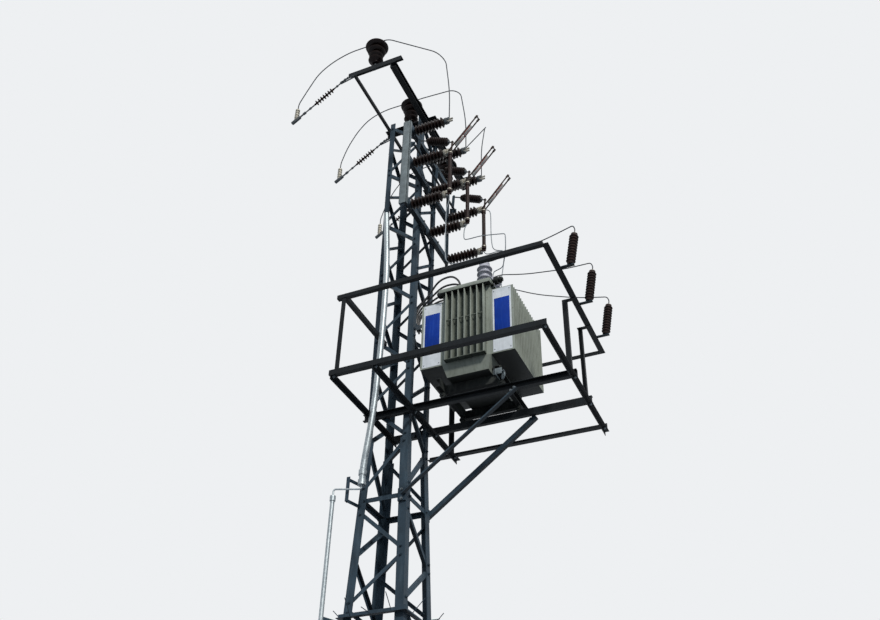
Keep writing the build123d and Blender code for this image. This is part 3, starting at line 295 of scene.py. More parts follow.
        # Stranded aluminium dulled by the weather
        coat("bare_wire", "#3d4348", "#2a2f33", 20, grain_mm=3, bump_mm=0.5, metallic=0.3, roughness=0.6,
             shine=0.3)
        # Concrete cast against boards: grey, pitted, stained from the top down
        coat("cast_concrete", "#96938b", "#7b7972", 180, "#5f5d57", 70, 0.5, grain_mm=6, bump_mm=1.5,
             roughness=0.85, spots="#56544e", spots_mm=12)
        laid = {
            "cast_concrete": ("concrete_footing",),
            "dull_zinc": ("switch_uprights",),
            "tank_enamel": ("tank", "tank_lid", "fins_left", "fins_right", "fins_ends"),
            # Painted shade: the base frame and the tank's fittings take the darkened enamel
            "shaded_enamel": ("base_frame", "tank_fittings"),
            "conduit_zinc": ("cable_pipe", "outer_pipe"),
            "white_plate": ("sign_plates",),
            "paper_tube": ("fuse_tubes",),
            "tinned_copper": ("upper_contacts", "hinge_brackets", "contact_blades"),
            "bare_wire": ("line_leads", "bushing_leads", "arrester_leads"),
            "cable_sheath": ("low_voltage_cables",),
            "grey_glaze": ("high_voltage_bushings",),
            "brown_glaze": ("low_voltage_bushings", "pin_insulators", "insulated_rods", "upper_insulators",
                            "middle_insulators", "lower_insulators"),
            "dark_silicone": ("tension_strings", "surge_arresters"),
        }
        finish_of = {name: finish for finish, names in laid.items() for name in names}
        for name, solid in nodes.items():
            finish = finish_of.get(name)
            if finish is None:
                # Painted shade: the platform's bars, its rails and the crossarm take the darkened copy of
                # the lattice paint
                in_shade = name.startswith(("rail_", "platform_", "crossarm")) and name != "platform_struts"
                finish = "shaded_angle" if in_shade else "painted_angle"
            if not solid.material_slots:
                solid.data.materials.append(finishes[finish])
            for slot in solid.material_slots:
                slot.material = finishes[finish]
        return {"FINISHED"}


# Shapes


def turned(profile, steps=0):
    """Shape turned about Z from (radius, height) points in millimetres, in the panel's steps or its own."""
    steps = steps or bpy.context.scene.mast_sizes.turned_steps
    shape = bmesh.new()
    points = [shape.verts.new((radius / 1000, 0, height / 1000)) for radius, height in profile]
    edges = [shape.edges.new(pair) for pair in zip(points, points[1:])]
    bmesh.ops.spin(shape, geom=points + edges, cent=(0, 0, 0), axis=(0, 0, 1), angle=2 * pi, steps=steps,
                   use_merge=True)
    bmesh.ops.remove_doubles(shape, verts=shape.verts, dist=1e-6)
    bmesh.ops.recalc_face_normals(shape, faces=shape.faces)
    return shape


def block(size, bevel=0.001):
    """Box of a size in metres about the origin, with eased edges."""
    shape = bmesh.new()
    bmesh.ops.create_cube(shape, size=1.0)
    bmesh.ops.scale(shape, vec=size, verts=shape.verts)
    if bevel:
        bmesh.ops.bevel(shape, geom=shape.edges, offset=bevel, offset_type="OFFSET", segments=2,
                        profile=0.5, affect="EDGES", material=-1)
    return shape


def bolt(across):
    """Hexagon head on a washer with the bolt's end through it, standing on the XY plane."""
    shape = bmesh.new()
    # Segments, then both radii, the depth and the middle's height as shares of the width
    for segments, foot, top, depth, middle in (
            (12, 0.62, 0.62, 0.1, 0.05), (6, 0.5, 0.5, 0.4, 0.3), (8, 0.28, 0.24, 0.25, 0.6)):
        bmesh.ops.create_cone(shape, cap_ends=True, segments=segments, radius1=across * foot,
                              radius2=across * top, depth=across * depth,
                              matrix=Matrix.Translation((0, 0, across * middle)))
    return shape


def at(point, direction=(0, 0, 1), spin=0.0):
    """Matrix that stands a shape's Z along a direction at a point."""
    turn = Vector((0, 0, 1)).rotation_difference(Vector(direction)).to_matrix().to_4x4()
    return Matrix.Translation(point) @ turn @ Matrix.Rotation(spin, 4, "Z")


def make(name, groups, finish, body="mast", replaced=()):
    """Join shapes, each repeated at its places, into one piece that rides on a body."""
    whole = bmesh.new()
    for shape, places in groups:
        unit = bpy.data.meshes.new("unit")
        shape.to_mesh(unit)
        for place in places:
            first = len(whole.verts)
            whole.from_mesh(unit)
            whole.verts.ensure_lookup_table()
            bmesh.ops.transform(whole, matrix=place, verts=whole.verts[first:])
        bpy.data.meshes.remove(unit)
    mesh = bpy.data.meshes.new(name)
    whole.to_mesh(mesh)
    whole.free()
    mesh.shade_smooth()
    mesh.set_sharp_from_angle(angle=radians(40))
    mesh.materials.append(finishes[finish])
    piece = bpy.data.objects.new(name, mesh)
    bpy.context.scene.collection.objects.link(piece)
    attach(piece, body)
    if replaced:
        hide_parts(*replaced)
    return piece


def half_width(z):
    """Half of the mast's outer width at a height."""
    return HALF_HEAD if z >= SHAFT_TOP else HALF_BASE + (HALF_HEAD - HALF_BASE) * z / SHAFT_TOP


def sheds(length, core, rim, count, foot, head, lip):
    """Profile of an insulator body with round-lipped sheds, in millimetres."""
    pitch = (length - foot - head) / count
    reach = rim - core
    points = [(0, 0), (core * 0.98, 0), (core, 1), (core, foot)]
    for index in range(count):
        low = foot + index * pitch
        # Out along the underside, round the lip and back down to the core
        points += [
            (core + 0.1 * reach, low + 0.1 * pitch), (rim - 2 * lip, low + 0.26 * pitch),
            (rim - 0.4 * lip, low + 0.3 * pitch), (rim, low + 0.37 * pitch),
            (rim - 0.4 * lip, low + 0.46 * pitch),
            (core + 0.45 * reach, low + 0.66 * pitch), (core + 0.12 * reach, low + 0.86 * pitch),
            (core, low + 0.97 * pitch),
        ]
    return points + [(core, length - 1), (core * 0.98, length), (0, length)]


class MAST_OT_post_insulators(Operator):
    """Turn the switch's nine post insulators, with their caps, root plates, clamps and nuts"""
    bl_idname = "mast.post_insulators"
    bl_label = "Post insulators"

    def execute(self, context):
        body = turned(sheds(length=486, core=38, rim=70, count=9, foot=42, head=42, lip=5))
        cap = turned([(0, 0), (42, 0), (45, 3), (45, 30), (41, 36), (38, 38), (0, 38)])
        plate = block((0.007, 0.1, 0.15))
        clamp = block((0.036, 0.028, 0.05), 0.005)
        nut = turned([(0, 0), (15, 0), (18, 4), (18, 30), (12, 34), (0, 34)], 20)
        metals = {"upper": "cast_fitting", "middle": "tinned_copper", "lower": "tinned_copper"}
        for row, metal in metals.items():
            node = row + "_insulators"
            low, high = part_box(node)
            level = (low.z + high.z) / 2
            roots = [at((low.x + 0.002, y, level), (1, 0, 0)) for y in POLES]
            plates = [at((low.x + 0.0025, y, level + 0.03)) for y in POLES]
            ends = [at((high.x - 0.0005, y, level), (-1, 0, 0)) for y in POLES]
            clamps = [at((high.x + 0.014, y, level + 0.03)) for y in POLES]
            nuts = [at((high.x + 0.016, y, level - 0.05)) for y in POLES]
            make(row + "_porcelain", [(body, roots)], "brown_glaze", replaced=(node,))
            make(row + "_caps", [(cap, roots), (plate, plates)], "painted_angle")
            make(row + "_heads", [(cap, ends), (clamp, clamps)], metal)
            make(row + "_nuts", [(nut, nuts)], "cast_fitting")
        return {"FINISHED"}


class MAST_OT_bushings(Operator):
    """Turn the transformer's high-voltage and low-voltage bushings with their terminals"""
    bl_idname = "mast.bushings"
    bl_label = "Bushings"

    def execute(self, context):
        low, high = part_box("high_voltage_bushings")
        centre = (low.x + high.x) / 2
        spots = [at((centre, y, low.z)) for y in (low.y + 0.09, (low.y + high.y) / 2, high.y - 0.09)]
        porcelain = turned(sheds(length=442, core=62, rim=90, count=5, foot=30, head=34, lip=6))
        collar = turned([(0, 0), (88, 0), (88, 10), (74, 14), (70, 26), (64, 30), (0, 30)])
        cap = turned([(0, 436), (50, 436), (54, 440), (52, 452), (30, 458), (16, 460), (16, 479), (0, 479)])
        make("bushing_porcelain", [(porcelain, spots)], "grey_glaze",
             replaced=("high_voltage_bushings",))
        make("bushing_collars", [(collar, spots)], "tank_enamel")
        make("bushing_caps", [(cap, spots)], "tinned_copper")
        low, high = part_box("low_voltage_bushings")
        centre = (low.x + high.x) / 2
        radius, count = 0.032, 4
        pitch = (high.y - low.y - 2 * radius) / (count - 1)
        spots = [at((centre, low.y + radius + index * pitch, low.z)) for index in range(count)]
        porcelain = turned(
            [(0, 0), (30, 0), (30, 14), (22, 18), (20, 26), (31, 34), (32, 38), (30, 42), (21, 48), (20, 56),
             (29, 64), (30, 68), (28, 72), (19, 78), (19, 92), (0, 92)])
        stud = turned([(0, 92), (16, 92), (16, 100), (9, 101), (9, 129), (0, 129)])
        make("low_bushing_porcelain", [(porcelain, spots)], "brown_glaze",
             replaced=("low_voltage_bushings",))
        make("low_bushing_studs", [(stud, spots)], "tinned_copper")
        return {"FINISHED"}


class MAST_OT_pin_insulators(Operator):
    """Turn the pin insulators on the crossarm, with their ears and stems"""
    bl_idname = "mast.pin_insulators"
    bl_label = "Pin insulators"

    def execute(self, context):
        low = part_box("pin_insulators")[0]
        spots = [at((0, y, low.z)) for y in CROSSBARS]
        profile = [(0, 70), (34, 70), (42, 74), (50, 80)]
        # Each shed's rim radius and the level of its rim, from the foot up
        for rim, level in ((100, 139), (97, 231), (122, 323), (155, 415)):
            profile += [
                (50, level - 42), (0.55 * rim, level - 37), (rim - 14, level - 22), (rim - 4, level - 11),
                (rim, level), (rim - 5, level + 9), (0.75 * rim + 10, level + 18),
                (0.45 * rim + 23, level + 30), (52, level + 42),
            ]
        bell = turned(profile + [(60, 462), (62, 468), (62, 508), (57, 514), (0, 515)])
        stem = turned([(0, -60), (9, -60), (9, -34), (18, -34), (18, -14), (14, -12), (14, 8), (24, 8),
                       (24, 18), (15, 20), (14, 74), (0, 74)], 20)
        ear = block((0.086, 0.026, 0.018), 0.006)
        ears = [spot @ Matrix.Translation((0, side * 0.029, 0.52)) for spot in spots for side in (-1, 1)]
        make("pin_porcelain", [(bell, spots), (ear, ears)], "brown_glaze",
             replaced=("pin_insulators",))
        make("pin_stems", [(stem, spots)], "cast_fitting")
        return {"FINISHED"}


class MAST_OT_tension_strings(Operator):
    """Turn the tension strings with their eyes, straps, tails and line clamps"""
    bl_idname = "mast.tension_strings"
    bl_label = "Tension strings"

    def execute(self, context):
        run, fall = 0.67, 0.49
        length = hypot(run, fall)
        along = Vector((-run, 0, -fall)) / length
        hook_x, hook_z = STRING_HOOK
        hooks = [Vector((hook_x, y, hook_z)) for y in STRINGS]
        profile = [(0, 250), (13, 250), (14, 266)]
        for index in range(7):
            base = 270 + index * 42
            profile += [(11, base), (12, base + 6), (34, base + 15), (38, base + 19), (36, base + 23),
                        (14, base + 31), (11, base + 36)]
        rod = turned(profile + [(14, 564), (13, 580), (0, 580)])
        eye = turned([(0, 1), (9, 1), (12, 6), (9, 14), (7, 20), (7, 34), (14, 40), (17, 52), (15, 66),
                      (10, 72), (9, 100), (17, 106), (19, 118), (17, 130), (9, 136), (8, 176), (15, 182),
                      (15, 200), (9, 206), (9, 252), (0, 252)], 24)
        tail = turned([(0, 578), (9, 578), (9, 640), (15, 646), (15, 668), (9, 674), (8, 732), (17, 740),
                       (17, 776), (11, 784), (11, 828), (20, 834), (24, 842), (24, 968), (19, 979),
                       (0, 979)], 24)
        profile = [(0, 0), (24, 2), (27, 10)]
        for index in range(4):
            base = 30 + index * 44
            profile += [(27, base), (22, base + 3), (22, base + 9), (30, base + 13), (30, base + 34)]
        barrel = turned(profile + [(24, 206), (14, 214), (0, 214)], 24)
        lays = [at(hook, along) for hook in hooks]
        clamps = [at(hook + along * (length + 0.075)) for hook in hooks]
        strap = block((0.005, 0.018, 0.19))
        straps = []
        for hook in hooks:
            join = hook + along * 0.118
            reach = Vector((STRAP_HEAD[0], hook.y, STRAP_HEAD[1])) - join
            straps += [at(join + reach / 2 + Vector((0, side, 0)), reach) for side in (-0.012, 0.012)]
        make("string_sheds", [(rod, lays)], "dark_silicone",
             replaced=("tension_strings",))
        make("string_fittings", [(eye, lays), (tail, lays), (strap, straps)], "cast_fitting")
        make("string_clamps", [(barrel, clamps)], "tinned_copper")
        return {"FINISHED"}


class MAST_OT_arresters(Operator):
    """Turn the surge arresters with their end fittings"""
    bl_idname = "mast.arresters"
    bl_label = "Surge arresters"

    def execute(self, context):
        lean = radians(10)
        axis = (sin(lean), 0, cos(lean))
        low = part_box("surge_arresters")[0]
        seat = low.z + 0.0305 * sin(lean)
        spots = [at((2.28, y, seat + 0.001), axis) for y in ARRESTERS]
        housing = turned(sheds(length=400, core=36, rim=50, count=10, foot=26, head=16, lip=3))
        foot = turned([(0, 0), (30, 0), (34, 4), (34, 20), (31, 24), (0, 24)])
        head = turned([(0, 388), (34, 388), (34, 404), (26, 409), (9, 410), (9, 419), (0, 419)])
        make("arrester_housings", [(housing, spots)], "dark_silicone",
             replaced=("surge_arresters",))
        make("arrester_ends", [(foot, spots), (head, spots)], "tinned_copper")
        return {"FINISHED"}


class MAST_OT_switch_frame(Operator):
    """Build the channel and the slim angle bar that carry the switch"""
    bl_idname = "mast.switch_frame"
    bl_label = "Switch frame"

    def execute(self, context):
        low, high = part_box("switch_uprights")
        middle = (low + high) / 2
        tall = high.z - low.z
        sheet = 0.006
        web = block((high.x - low.x, sheet, tall))
        flange = block((sheet, 0.05, tall))
        make("frame_channel", [
            (web, [at((middle.x, low.y + sheet / 2, middle.z))]),
            (flange, [at((x, low.y + 0.025, middle.z)) for x in (low.x + sheet / 2, high.x - sheet / 2)]),
        ], "dull_zinc", replaced=("switch_uprights",))
        width = 0.045
        leg = block((width, sheet, tall))
        back = block((sheet, width, tall))
        # Painted shade: the far angle takes the dark lattice paint, not the channel's zinc, as it stands in
        # shadow
        make("frame_angle", [
            (leg, [at((low.x + width / 2, high.y - 0.047, middle.z))]),
            (back, [at((low.x + sheet / 2, high.y - 0.0275, middle.z))]),
        ], "painted_angle")
        return {"FINISHED"}


class MAST_OT_blades(Operator):
    """Build the switch blades from paired bars, with their levers and their pale and red sleeves"""
    bl_idname = "mast.blades"
    bl_label = "Switch blades"

    def execute(self, context):
        side_gap = 0.031
        bar = block((0.018, 0.011, BLADE + 0.01), 0.002)
        tip = block((0.03, 0.013, 0.05), 0.003)
        loop = turned([(0, -34), (6, -34), (8, -32), (8, 32), (6, 34), (0, 34)], 20)
        stud = block((0.014, 2 * side_gap + 0.007, 0.014), 0.002)
        lever = block((0.024, 0.01, LEVER + 0.024), 0.003)
        boss = turned([(0, -34), (13, -34), (17, -30), (17, 30), (13, 34), (0, 34)], 24)
        eye = turned([(0, -8), (12, -8), (14, -6), (14, 6), (12, 8), (0, 8)], 20)
        pale_strip = block((0.026, 0.038, 0.16), 0.004)
        red_strip = block((0.02, 0.011, 0.26))
        bars, tips, loops, studs, pale, red, levers, bosses, eyes = ([] for _ in range(9))
        for y in POLES:
            foot = HINGE + Vector((0, y, 0))
            bosses.append(at(foot, (0, 1, 0)))
            for side in (-side_gap, side_gap):
                offset = foot + Vector((0, side, 0))
                bars.append(at(offset + BLADE_REACH * (BLADE / 2 + 0.003), BLADE_REACH))
                tips.append(at(offset + BLADE_REACH * (BLADE - 0.015), BLADE_REACH))
                red.append(at(foot + Vector((0, side * 0.76, 0)) + BLADE_REACH * 0.3, BLADE_REACH))
            pale += [at(foot + BLADE_REACH * reach, BLADE_REACH) for reach in (0.19, 0.37)]
            loops.append(at(foot + BLADE_REACH * BLADE, (0, 1, 0)))
            studs.append(at(foot + BLADE_REACH * 0.4, BLADE_REACH))
            levers.append(at(foot + Vector((0, 0.026, 0)) + LEVER_REACH * (LEVER / 2), LEVER_REACH))
            eyes.append(at(foot + Vector((0, 0.029, 0)) + LEVER_REACH * LEVER, (0, 1, 0)))
        make("blade_bars", [(bar, bars), (tip, tips), (loop, loops), (stud, studs), (lever, levers),
                            (boss, bosses), (eye, eyes)],
             "oxidised_copper", body="switch_blades", replaced=("contact_blades",))
        for name, strip, places in (("pale", pale_strip, pale), ("red", red_strip, red)):
            make("blade_strips_" + name, [(strip, places)], name + "_sleeve", body="switch_blades")
        return {"FINISHED"}


class MAST_OT_rods(Operator):
    """Turn the three insulated rods between the drive shaft and the blades"""
    bl_idname = "mast.rods"
    bl_label = "Insulated rods"

    def execute(self, context):
        crank_end = Vector((SHAFT.x, ROD_OFFSET, SHAFT.z)) + LEVER_REACH * LEVER
        blade_end = Vector((HINGE.x, ROD_OFFSET, HINGE.z)) + LEVER_REACH * LEVER
        run = blade_end - crank_end
        span = run.length * 1000
        ribs = sheds(length=0.63 * span, core=36, rim=57, count=10, foot=12, head=12, lip=3)
        # The ribs grow from the crank end, where the crank swings close past them
        body = turned([(min(radius, 36 + 0.45 * height), height) for radius, height in ribs])
        grip = turned([(0, 0), (14, 0), (18, 4), (22, 12), (22, 30), (0, 30)], 24)
        tube = turned([(0, 0), (9, 0), (9, span), (0, span)], 20)
        end_eye = turned([(0, -7), (13, -7), (15, -5), (15, 5), (13, 7), (0, 7)], 20)
        lays = [at(crank_end + Vector((0, y, 0)), run) for y in POLES]
        bodies, near, far = ([lay @ Matrix.Translation((0, 0, share * run.length)) for lay in lays]
                             for share in (0.24, 0.21, 0.9))
        far = [place @ Matrix.Rotation(pi, 4, "X") for place in far]
        ends = [at(point + Vector((0, y, 0)), (0, 1, 0)) for y in POLES for point in (crank_end, blade_end)]
        make("rod_porcelain", [(body, bodies)], "brown_glaze", body="drive_rods",
             replaced=("insulated_rods",))
        make("rod_ends", [(tube, lays), (grip, near), (grip, far), (end_eye, ends)], "cast_fitting",
             body="drive_rods")
        return {"FINISHED"}


class MAST_OT_fuses(Operator):
    """Put a metal ferrule round each end of the fuse tubes"""
    bl_idname = "mast.fuses"
    bl_label = "Fuse ferrules"

    def execute(self, context):
        ring = turned([(29, 0), (31, 1), (31, 15), (29, 16), (29, 0)])
        low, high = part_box("fuse_tubes")
        spots = [at((HINGE.x, y, z)) for y in POLES for z in (low.z + 0.07, high.z - 0.02)]
        make("fuse_ferrules", [(ring, spots)], "tinned_copper")
        return {"FINISHED"}


class MAST_OT_conductors(Operator):
    """Swell copies of the line wires and the arrester wires to their real thickness"""
    bl_idname = "mast.conductors"
    bl_label = "Bare conductors"

    def execute(self, context):
        for node, name, proud in (("line_leads", "line_strands", 0.002),
                                  ("arrester_leads", "arrester_wires", 0.001)):
            shape = bmesh.new()
            shape.from_mesh(nodes[node].data)
            bmesh.ops.remove_doubles(shape, verts=shape.verts, dist=1e-5)
            piece = make(name, [(shape, [Matrix.Identity(4)])], "bare_wire",
                         replaced=(node,))
            swell = piece.modifiers.new("swell", "DISPLACE")
            swell.strength = proud
            swell.mid_level = 0.0
        return {"FINISHED"}


class MAST_OT_bushing_wires(Operator):
    """Bend the stiff wires from the fuses to the bushings, and the one from the far pole's hinge"""
    bl_idname = "mast.bushing_wires"
    bl_label = "Bushing wires"

    def execute(self, context):
        routes = {
            "bushing_wire_near": [
                (0.85, -0.64, 9.11), (0.85, -0.64, 9.0), (0.815, -0.63, 8.93), (0.8, -0.62, 8.86),
                (0.79, -0.6, 8.4), (0.79, -0.595, 8.16), (0.81, -0.575, 8.1), (0.87, -0.5, 8.11),
                (1.05, -0.31, 8.3), (1.12, -0.24, 8.34), (1.13, -0.23, 8.33), (1.13, -0.23, 8.274)],
            "bushing_wire_middle": [
                (0.85, -0.08, 9.11), (0.81, -0.08, 9.06), (0.802, -0.08, 8.93), (0.808, -0.08, 8.87),
                (0.84, -0.08, 8.85), (1.017, -0.08, 8.85), (1.115, -0.08, 8.83), (1.29, -0.08, 8.79),
                (1.34, -0.08, 8.775), (1.345, -0.08, 8.72), (1.335, -0.06, 8.54), (1.28, 0.02, 8.42),
                (1.25, 0.05, 8.37), (1.16, 0.05, 8.35), (1.13, 0.05, 8.33), (1.13, 0.05, 8.274)],
            "bushing_wire_far": [
                (0.85, 0.48, 9.11), (0.86, 0.48, 9.06), (0.93, 0.48, 9.04), (1.02, 0.48, 9.05),
                (1.1, 0.48, 9.035), (1.125, 0.48, 9.01), (1.12, 0.48, 8.9), (1.1, 0.46, 8.65),
                (1.1, 0.4, 8.5), (1.12, 0.34, 8.42), (1.13, 0.33, 8.37), (1.13, 0.33, 8.274)],
            "hinge_wire_far": [
                (0.85, 0.48, 9.84), (0.9, 0.48, 9.83), (0.94, 0.48, 9.79), (0.952, 0.48, 9.7),
                (0.949, 0.48, 9.35), (0.96, 0.48, 9.19), (0.975, 0.48, 9.11), (1.03, 0.48, 9.06),
                (1.1, 0.48, 9.04)],
        }
        for name, route in routes.items():
            path = bpy.data.curves.new(name, "CURVE")
            path.dimensions = "3D"
            path.bevel_depth = context.scene.mast_sizes.wire_thickness / 2
            path.bevel_resolution = 3
            path.use_fill_caps = True
            run = path.splines.new("NURBS")
            run.points.add(len(route) - 1)
            for point, place in zip(run.points, route):
                point.co = (*place, 1.0)
            run.order_u = 3
            run.use_endpoint_u = True
            run.resolution_u = 5
            path.materials.append(finishes["pale_wire"])
            wire = bpy.data.objects.new(name, path)
            context.scene.collection.objects.link(wire)
            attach(wire, "mast")
            if name == "bushing_wire_near":
                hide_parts("bushing_leads")
        return {"FINISHED"}


class MAST_OT_bolts(Operator):
    """Bolt the lattice, the platform, the switch's rails and the crossarm"""
    bl_idname = "mast.bolts"
    bl_label = "Bolts"

    def execute(self, context):
        head = bolt(context.scene.mast_sizes.bolt_across)
        # Each brace has a bolt at its foot and its head, on the middle of the leg's flange
        panels = []
        for start, stop, count, flange in (
                (FOOT_LEVEL, RING_LEVEL - RING_HALF, SHAFT_PANELS, SHAFT_FLANGE),
                (RING_LEVEL + RING_HALF, SHAFT_TOP, 1, SHAFT_FLANGE),
                (SHAFT_TOP, MAST_TOP - 0.06, HEAD_PANELS, HEAD_FLANGE)):
            pitch = (stop - start) / count
            panels += [(start + k * pitch, start + (k + 1) * pitch, flange) for k in range(count)]
        spots = []
        for index, (low, high, flange) in enumerate(panels):
            side = 1 if index % 2 else -1
            for z, edge in ((low + BRACE_GAP + 0.012, side), (high - BRACE_GAP - 0.012, -side)):
                half = half_width(z)
                spots.append((edge * (half - flange / 2), -half, z))
        half = half_width(RING_LEVEL)
        spots += [(side * (half - 0.075), -half, RING_LEVEL) for side in (-1, 1)]
        places = []
        for turn in range(4):
            spin = Matrix.Rotation(turn * pi / 2, 4, "Z")
            places += [spin @ at(spot, (0, -1, 0), spot[2]) for spot in spots]
        make("lattice_bolts", [(head, places)], "painted_angle")
        # The far edge bar stops short of the tie behind the mast's middle
        places = [at((x, y, BEAM_UNDERSIDE), (0, 0, -1), x + y)
                  for x in BEAM_CROSSINGS for y in BEAM_LINES if x > 0 or y < 0.5]
        # Two bolts at each strut's foot, on the ring, and two at its head, on the beam
        for side in (-1, 1):
            for x, z in ((0.23, 5.40), (0.23, 5.50), (1.43, 6.39), (1.466, 6.417)):
                places.append(at((x, side * 0.30, z), (0, side, 0)))
        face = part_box("switch_rails")[1].x
        for z in RAIL_LEVELS:
            for y in (-0.215, 0.215, -0.73, 0.57):
                places += [at((face, y, z + rise), (1, 0, 0)) for rise in (-0.022, 0.022)]
        places += [at((x, y, CROSSBAR_TOP)) for y in CROSSBARS for x in (-0.275, 0.29)]
        make("frame_bolts", [(head, places)], "bolt_zinc")
        return {"FINISHED"}


class MAST_OT_lid_bolts(Operator):
    """Bolt the tank's lid all round, with a head above and a nut below"""
    bl_idname = "mast.lid_bolts"
    bl_label = "Lid bolts"

    def execute(self, context):
        sizes = context.scene.mast_sizes
        small = bolt(sizes.bolt_across * 0.7)
        low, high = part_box("tank_lid")
        inset = 0.014
        width, depth = high.x - low.x - 2 * inset, high.y - low.y - 2 * inset
        across, along = round(width / sizes.lid_bolt_pitch), round(depth / sizes.lid_bolt_pitch)
        places = [(low.x + inset + width * index / across, y)
                  for index in range(across + 1) for y in (low.y + inset, high.y - inset)]
        places += [(x, low.y + inset + depth * index / along)
                   for index in range(1, along) for x in (low.x + inset, high.x - inset)]
        up = [at((x, y, high.z), (0, 0, 1), x) for x, y in places]
        down = [at((x, y, low.z), (0, 0, -1), y) for x, y in places]
        make("lid_bolts", [(small, up + down)], "bolt_zinc")
        return {"FINISHED"}


class MAST_OT_end_fins(Operator):
    """Build the fins of the tank's two end walls under a flange of the lid, with painted shade between them
    """
    bl_idname = "mast.end_fins"
    bl_label = "End fins"

    def execute(self, context):
        count = context.scene.mast_sizes.end_fins
        low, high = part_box("fins_ends")
        wall_low, wall_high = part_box("tank")
        width = high.x - low.x
        pitch = (width - 0.01) / (count - 1)
        tall = wall_high.z - 0.02 - low.z
        middle = (low.x + high.x) / 2
        level = low.z + tall / 2
        deep = wall_low.y - low.y
        fin = block((0.01, deep, tall), 0.002)
        rim = block((wall_high.x - wall_low.x + 0.05, deep + 0.008, 0.05), 0.003)
        sheet = block((width + 0.01, 0.006, tall - 0.004), 0)
        ledge = block((width + 0.014, deep - 0.002, 0.01))
        band = block((width - 0.02, 0.012, 0.016), 0.003)
        fins, rims, sheets, ledges, bands = ([] for _ in range(5))
        for side, wall in ((-1, wall_low.y), (1, wall_high.y)):
            fins += [at((low.x + 0.005 + index * pitch, wall + side * deep / 2, level))
                     for index in range(count)]
            rims.append(at((middle, wall + side * (deep / 2 + 0.004), wall_high.z + 0.004)))
            sheets.append(at((middle, wall + side * 0.001, level)))
            ledges.append(at((middle, wall + side * (deep / 2 - 0.003), low.z + 0.005)))
            bands.append(at((middle, wall + side * (deep - 0.022), low.z + 0.53)))
        make("end_fins", [(fin, fins), (rim, rims)], "tank_enamel",
             replaced=("fins_ends",))
        # Painted shade: the sheet on the wall behind the fins, the ledge under them and the band across them
        # take the darkened enamel
        make("end_fin_shade_sheets", [(sheet, sheets), (ledge, ledges), (band, bands)], "painted_fin_shade")
        return {"FINISHED"}


class MAST_OT_tank_trim(Operator):
    """Add the lid's gasket, drum and lifting lugs, and the towing eye of the base frame"""
    bl_idname = "mast.tank_trim"
    bl_label = "Tank trim"

    def execute(self, context):
        low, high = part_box("tank_lid")
        centre = (low + high) / 2
        gasket = block((high.x - low.x + 0.0006, high.y - low.y + 0.0006, 0.004), 0)
        make("lid_gasket", [(gasket, [at((centre.x, centre.y, low.z + 0.022))])], "cable_sheath")
        # Painted shade: the drum takes the darkened enamel
        drum = turned([(0, 0), (30, 0), (38, 7), (38, 53), (30, 60), (0, 60)], 28)
        make("lid_drum", [(drum, [at((low.x - 0.003, low.y, high.z - 0.022), (0, 1, 0))])],
             "shaded_enamel")
        ring = turned([(20, -6), (26, -6), (29, 0), (26, 6), (20, 6), (17, 0), (20, -6)], 28)
        foot = block((0.012, 0.07, 0.03), 0.003)
        corners = [(x, y) for x in (low.x + 0.05, high.x - 0.05) for y in (low.y + 0.09, high.y - 0.09)]
        rings = [at((x, y, high.z + 0.042), (1, 0, 0)) for x, y in corners]
        feet = [at((x, y, high.z + 0.014)) for x, y in corners]
        make("lifting_lugs", [(ring, rings), (foot, feet)], "tank_enamel")
        low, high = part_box("base_frame")
        arm = block((0.1, 0.036, 0.008), 0.002)
        web = block((0.01, 0.26, 0.07), 0.002)
        cheek = block((0.09, 0.01, 0.07), 0.002)
        ring = turned([(26, -8), (38, -8), (42, 0), (38, 8), (26, 8), (22, 0), (26, -8)], 32)
        x, y = high.x, low.y + 0.02
        make("towing_eye", [
            (arm, [at((x, y, 6.585))]),
            (ring, [at((x + 0.03, y + 0.012, 6.54), (0.7, 0.7, 0))]),
            (web, [at((x - 0.04, y + 0.1, 6.58))]),
            (cheek, [at((x - 0.02, y - 0.015, 6.59))]),
        ], "dull_zinc")
        return {"FINISHED"}


class MAST_OT_signs(Operator):
    """Lay the plain blue panels on the white plates, with their rivets"""
    bl_idname = "mast.signs"
    bl_label = "Sign plates"

    def execute(self, context):
        low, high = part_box("sign_plates")
        half_plate = 0.1075
        centres = (low.x + half_plate, high.x - half_plate)
        panel = block((0.178, 0.0016, 0.53), 0.0006)
        panels = [at((x, low.y - 0.0005, 7.272)) for x in centres]
        make("sign_panels", [(panel, panels)], "blue_plate")
        rivet = turned([(0, 0), (7, 0), (7, 1.5), (4, 4), (0, 5)], 12)
        spots = [at((x + side, low.y, z), (0, -1, 0)) for x in centres for side in (-0.09, 0.09)
                 for z in (6.86, 7.64)]
        make("sign_rivets", [(rivet, spots)], "bolt_zinc")
        return {"FINISHED"}


# Floor, light and camera


def direct_rays(tree):
    """Output that is 1 for the rays that show the backdrop: camera, glossy and transmitted."""
    rays = put(tree, "ShaderNodeLightPath")
    seen = put(tree, "ShaderNodeMath", {0: rays.outputs["Is Camera Ray"], 1: rays.outputs["Is Glossy Ray"]},
               operation="MAXIMUM")
    seen = put(tree, "ShaderNodeMath", {0: seen.outputs["Value"], 1: rays.outputs["Is Transmission Ray"]},
               operation="MAXIMUM")
    return seen.outputs["Value"]


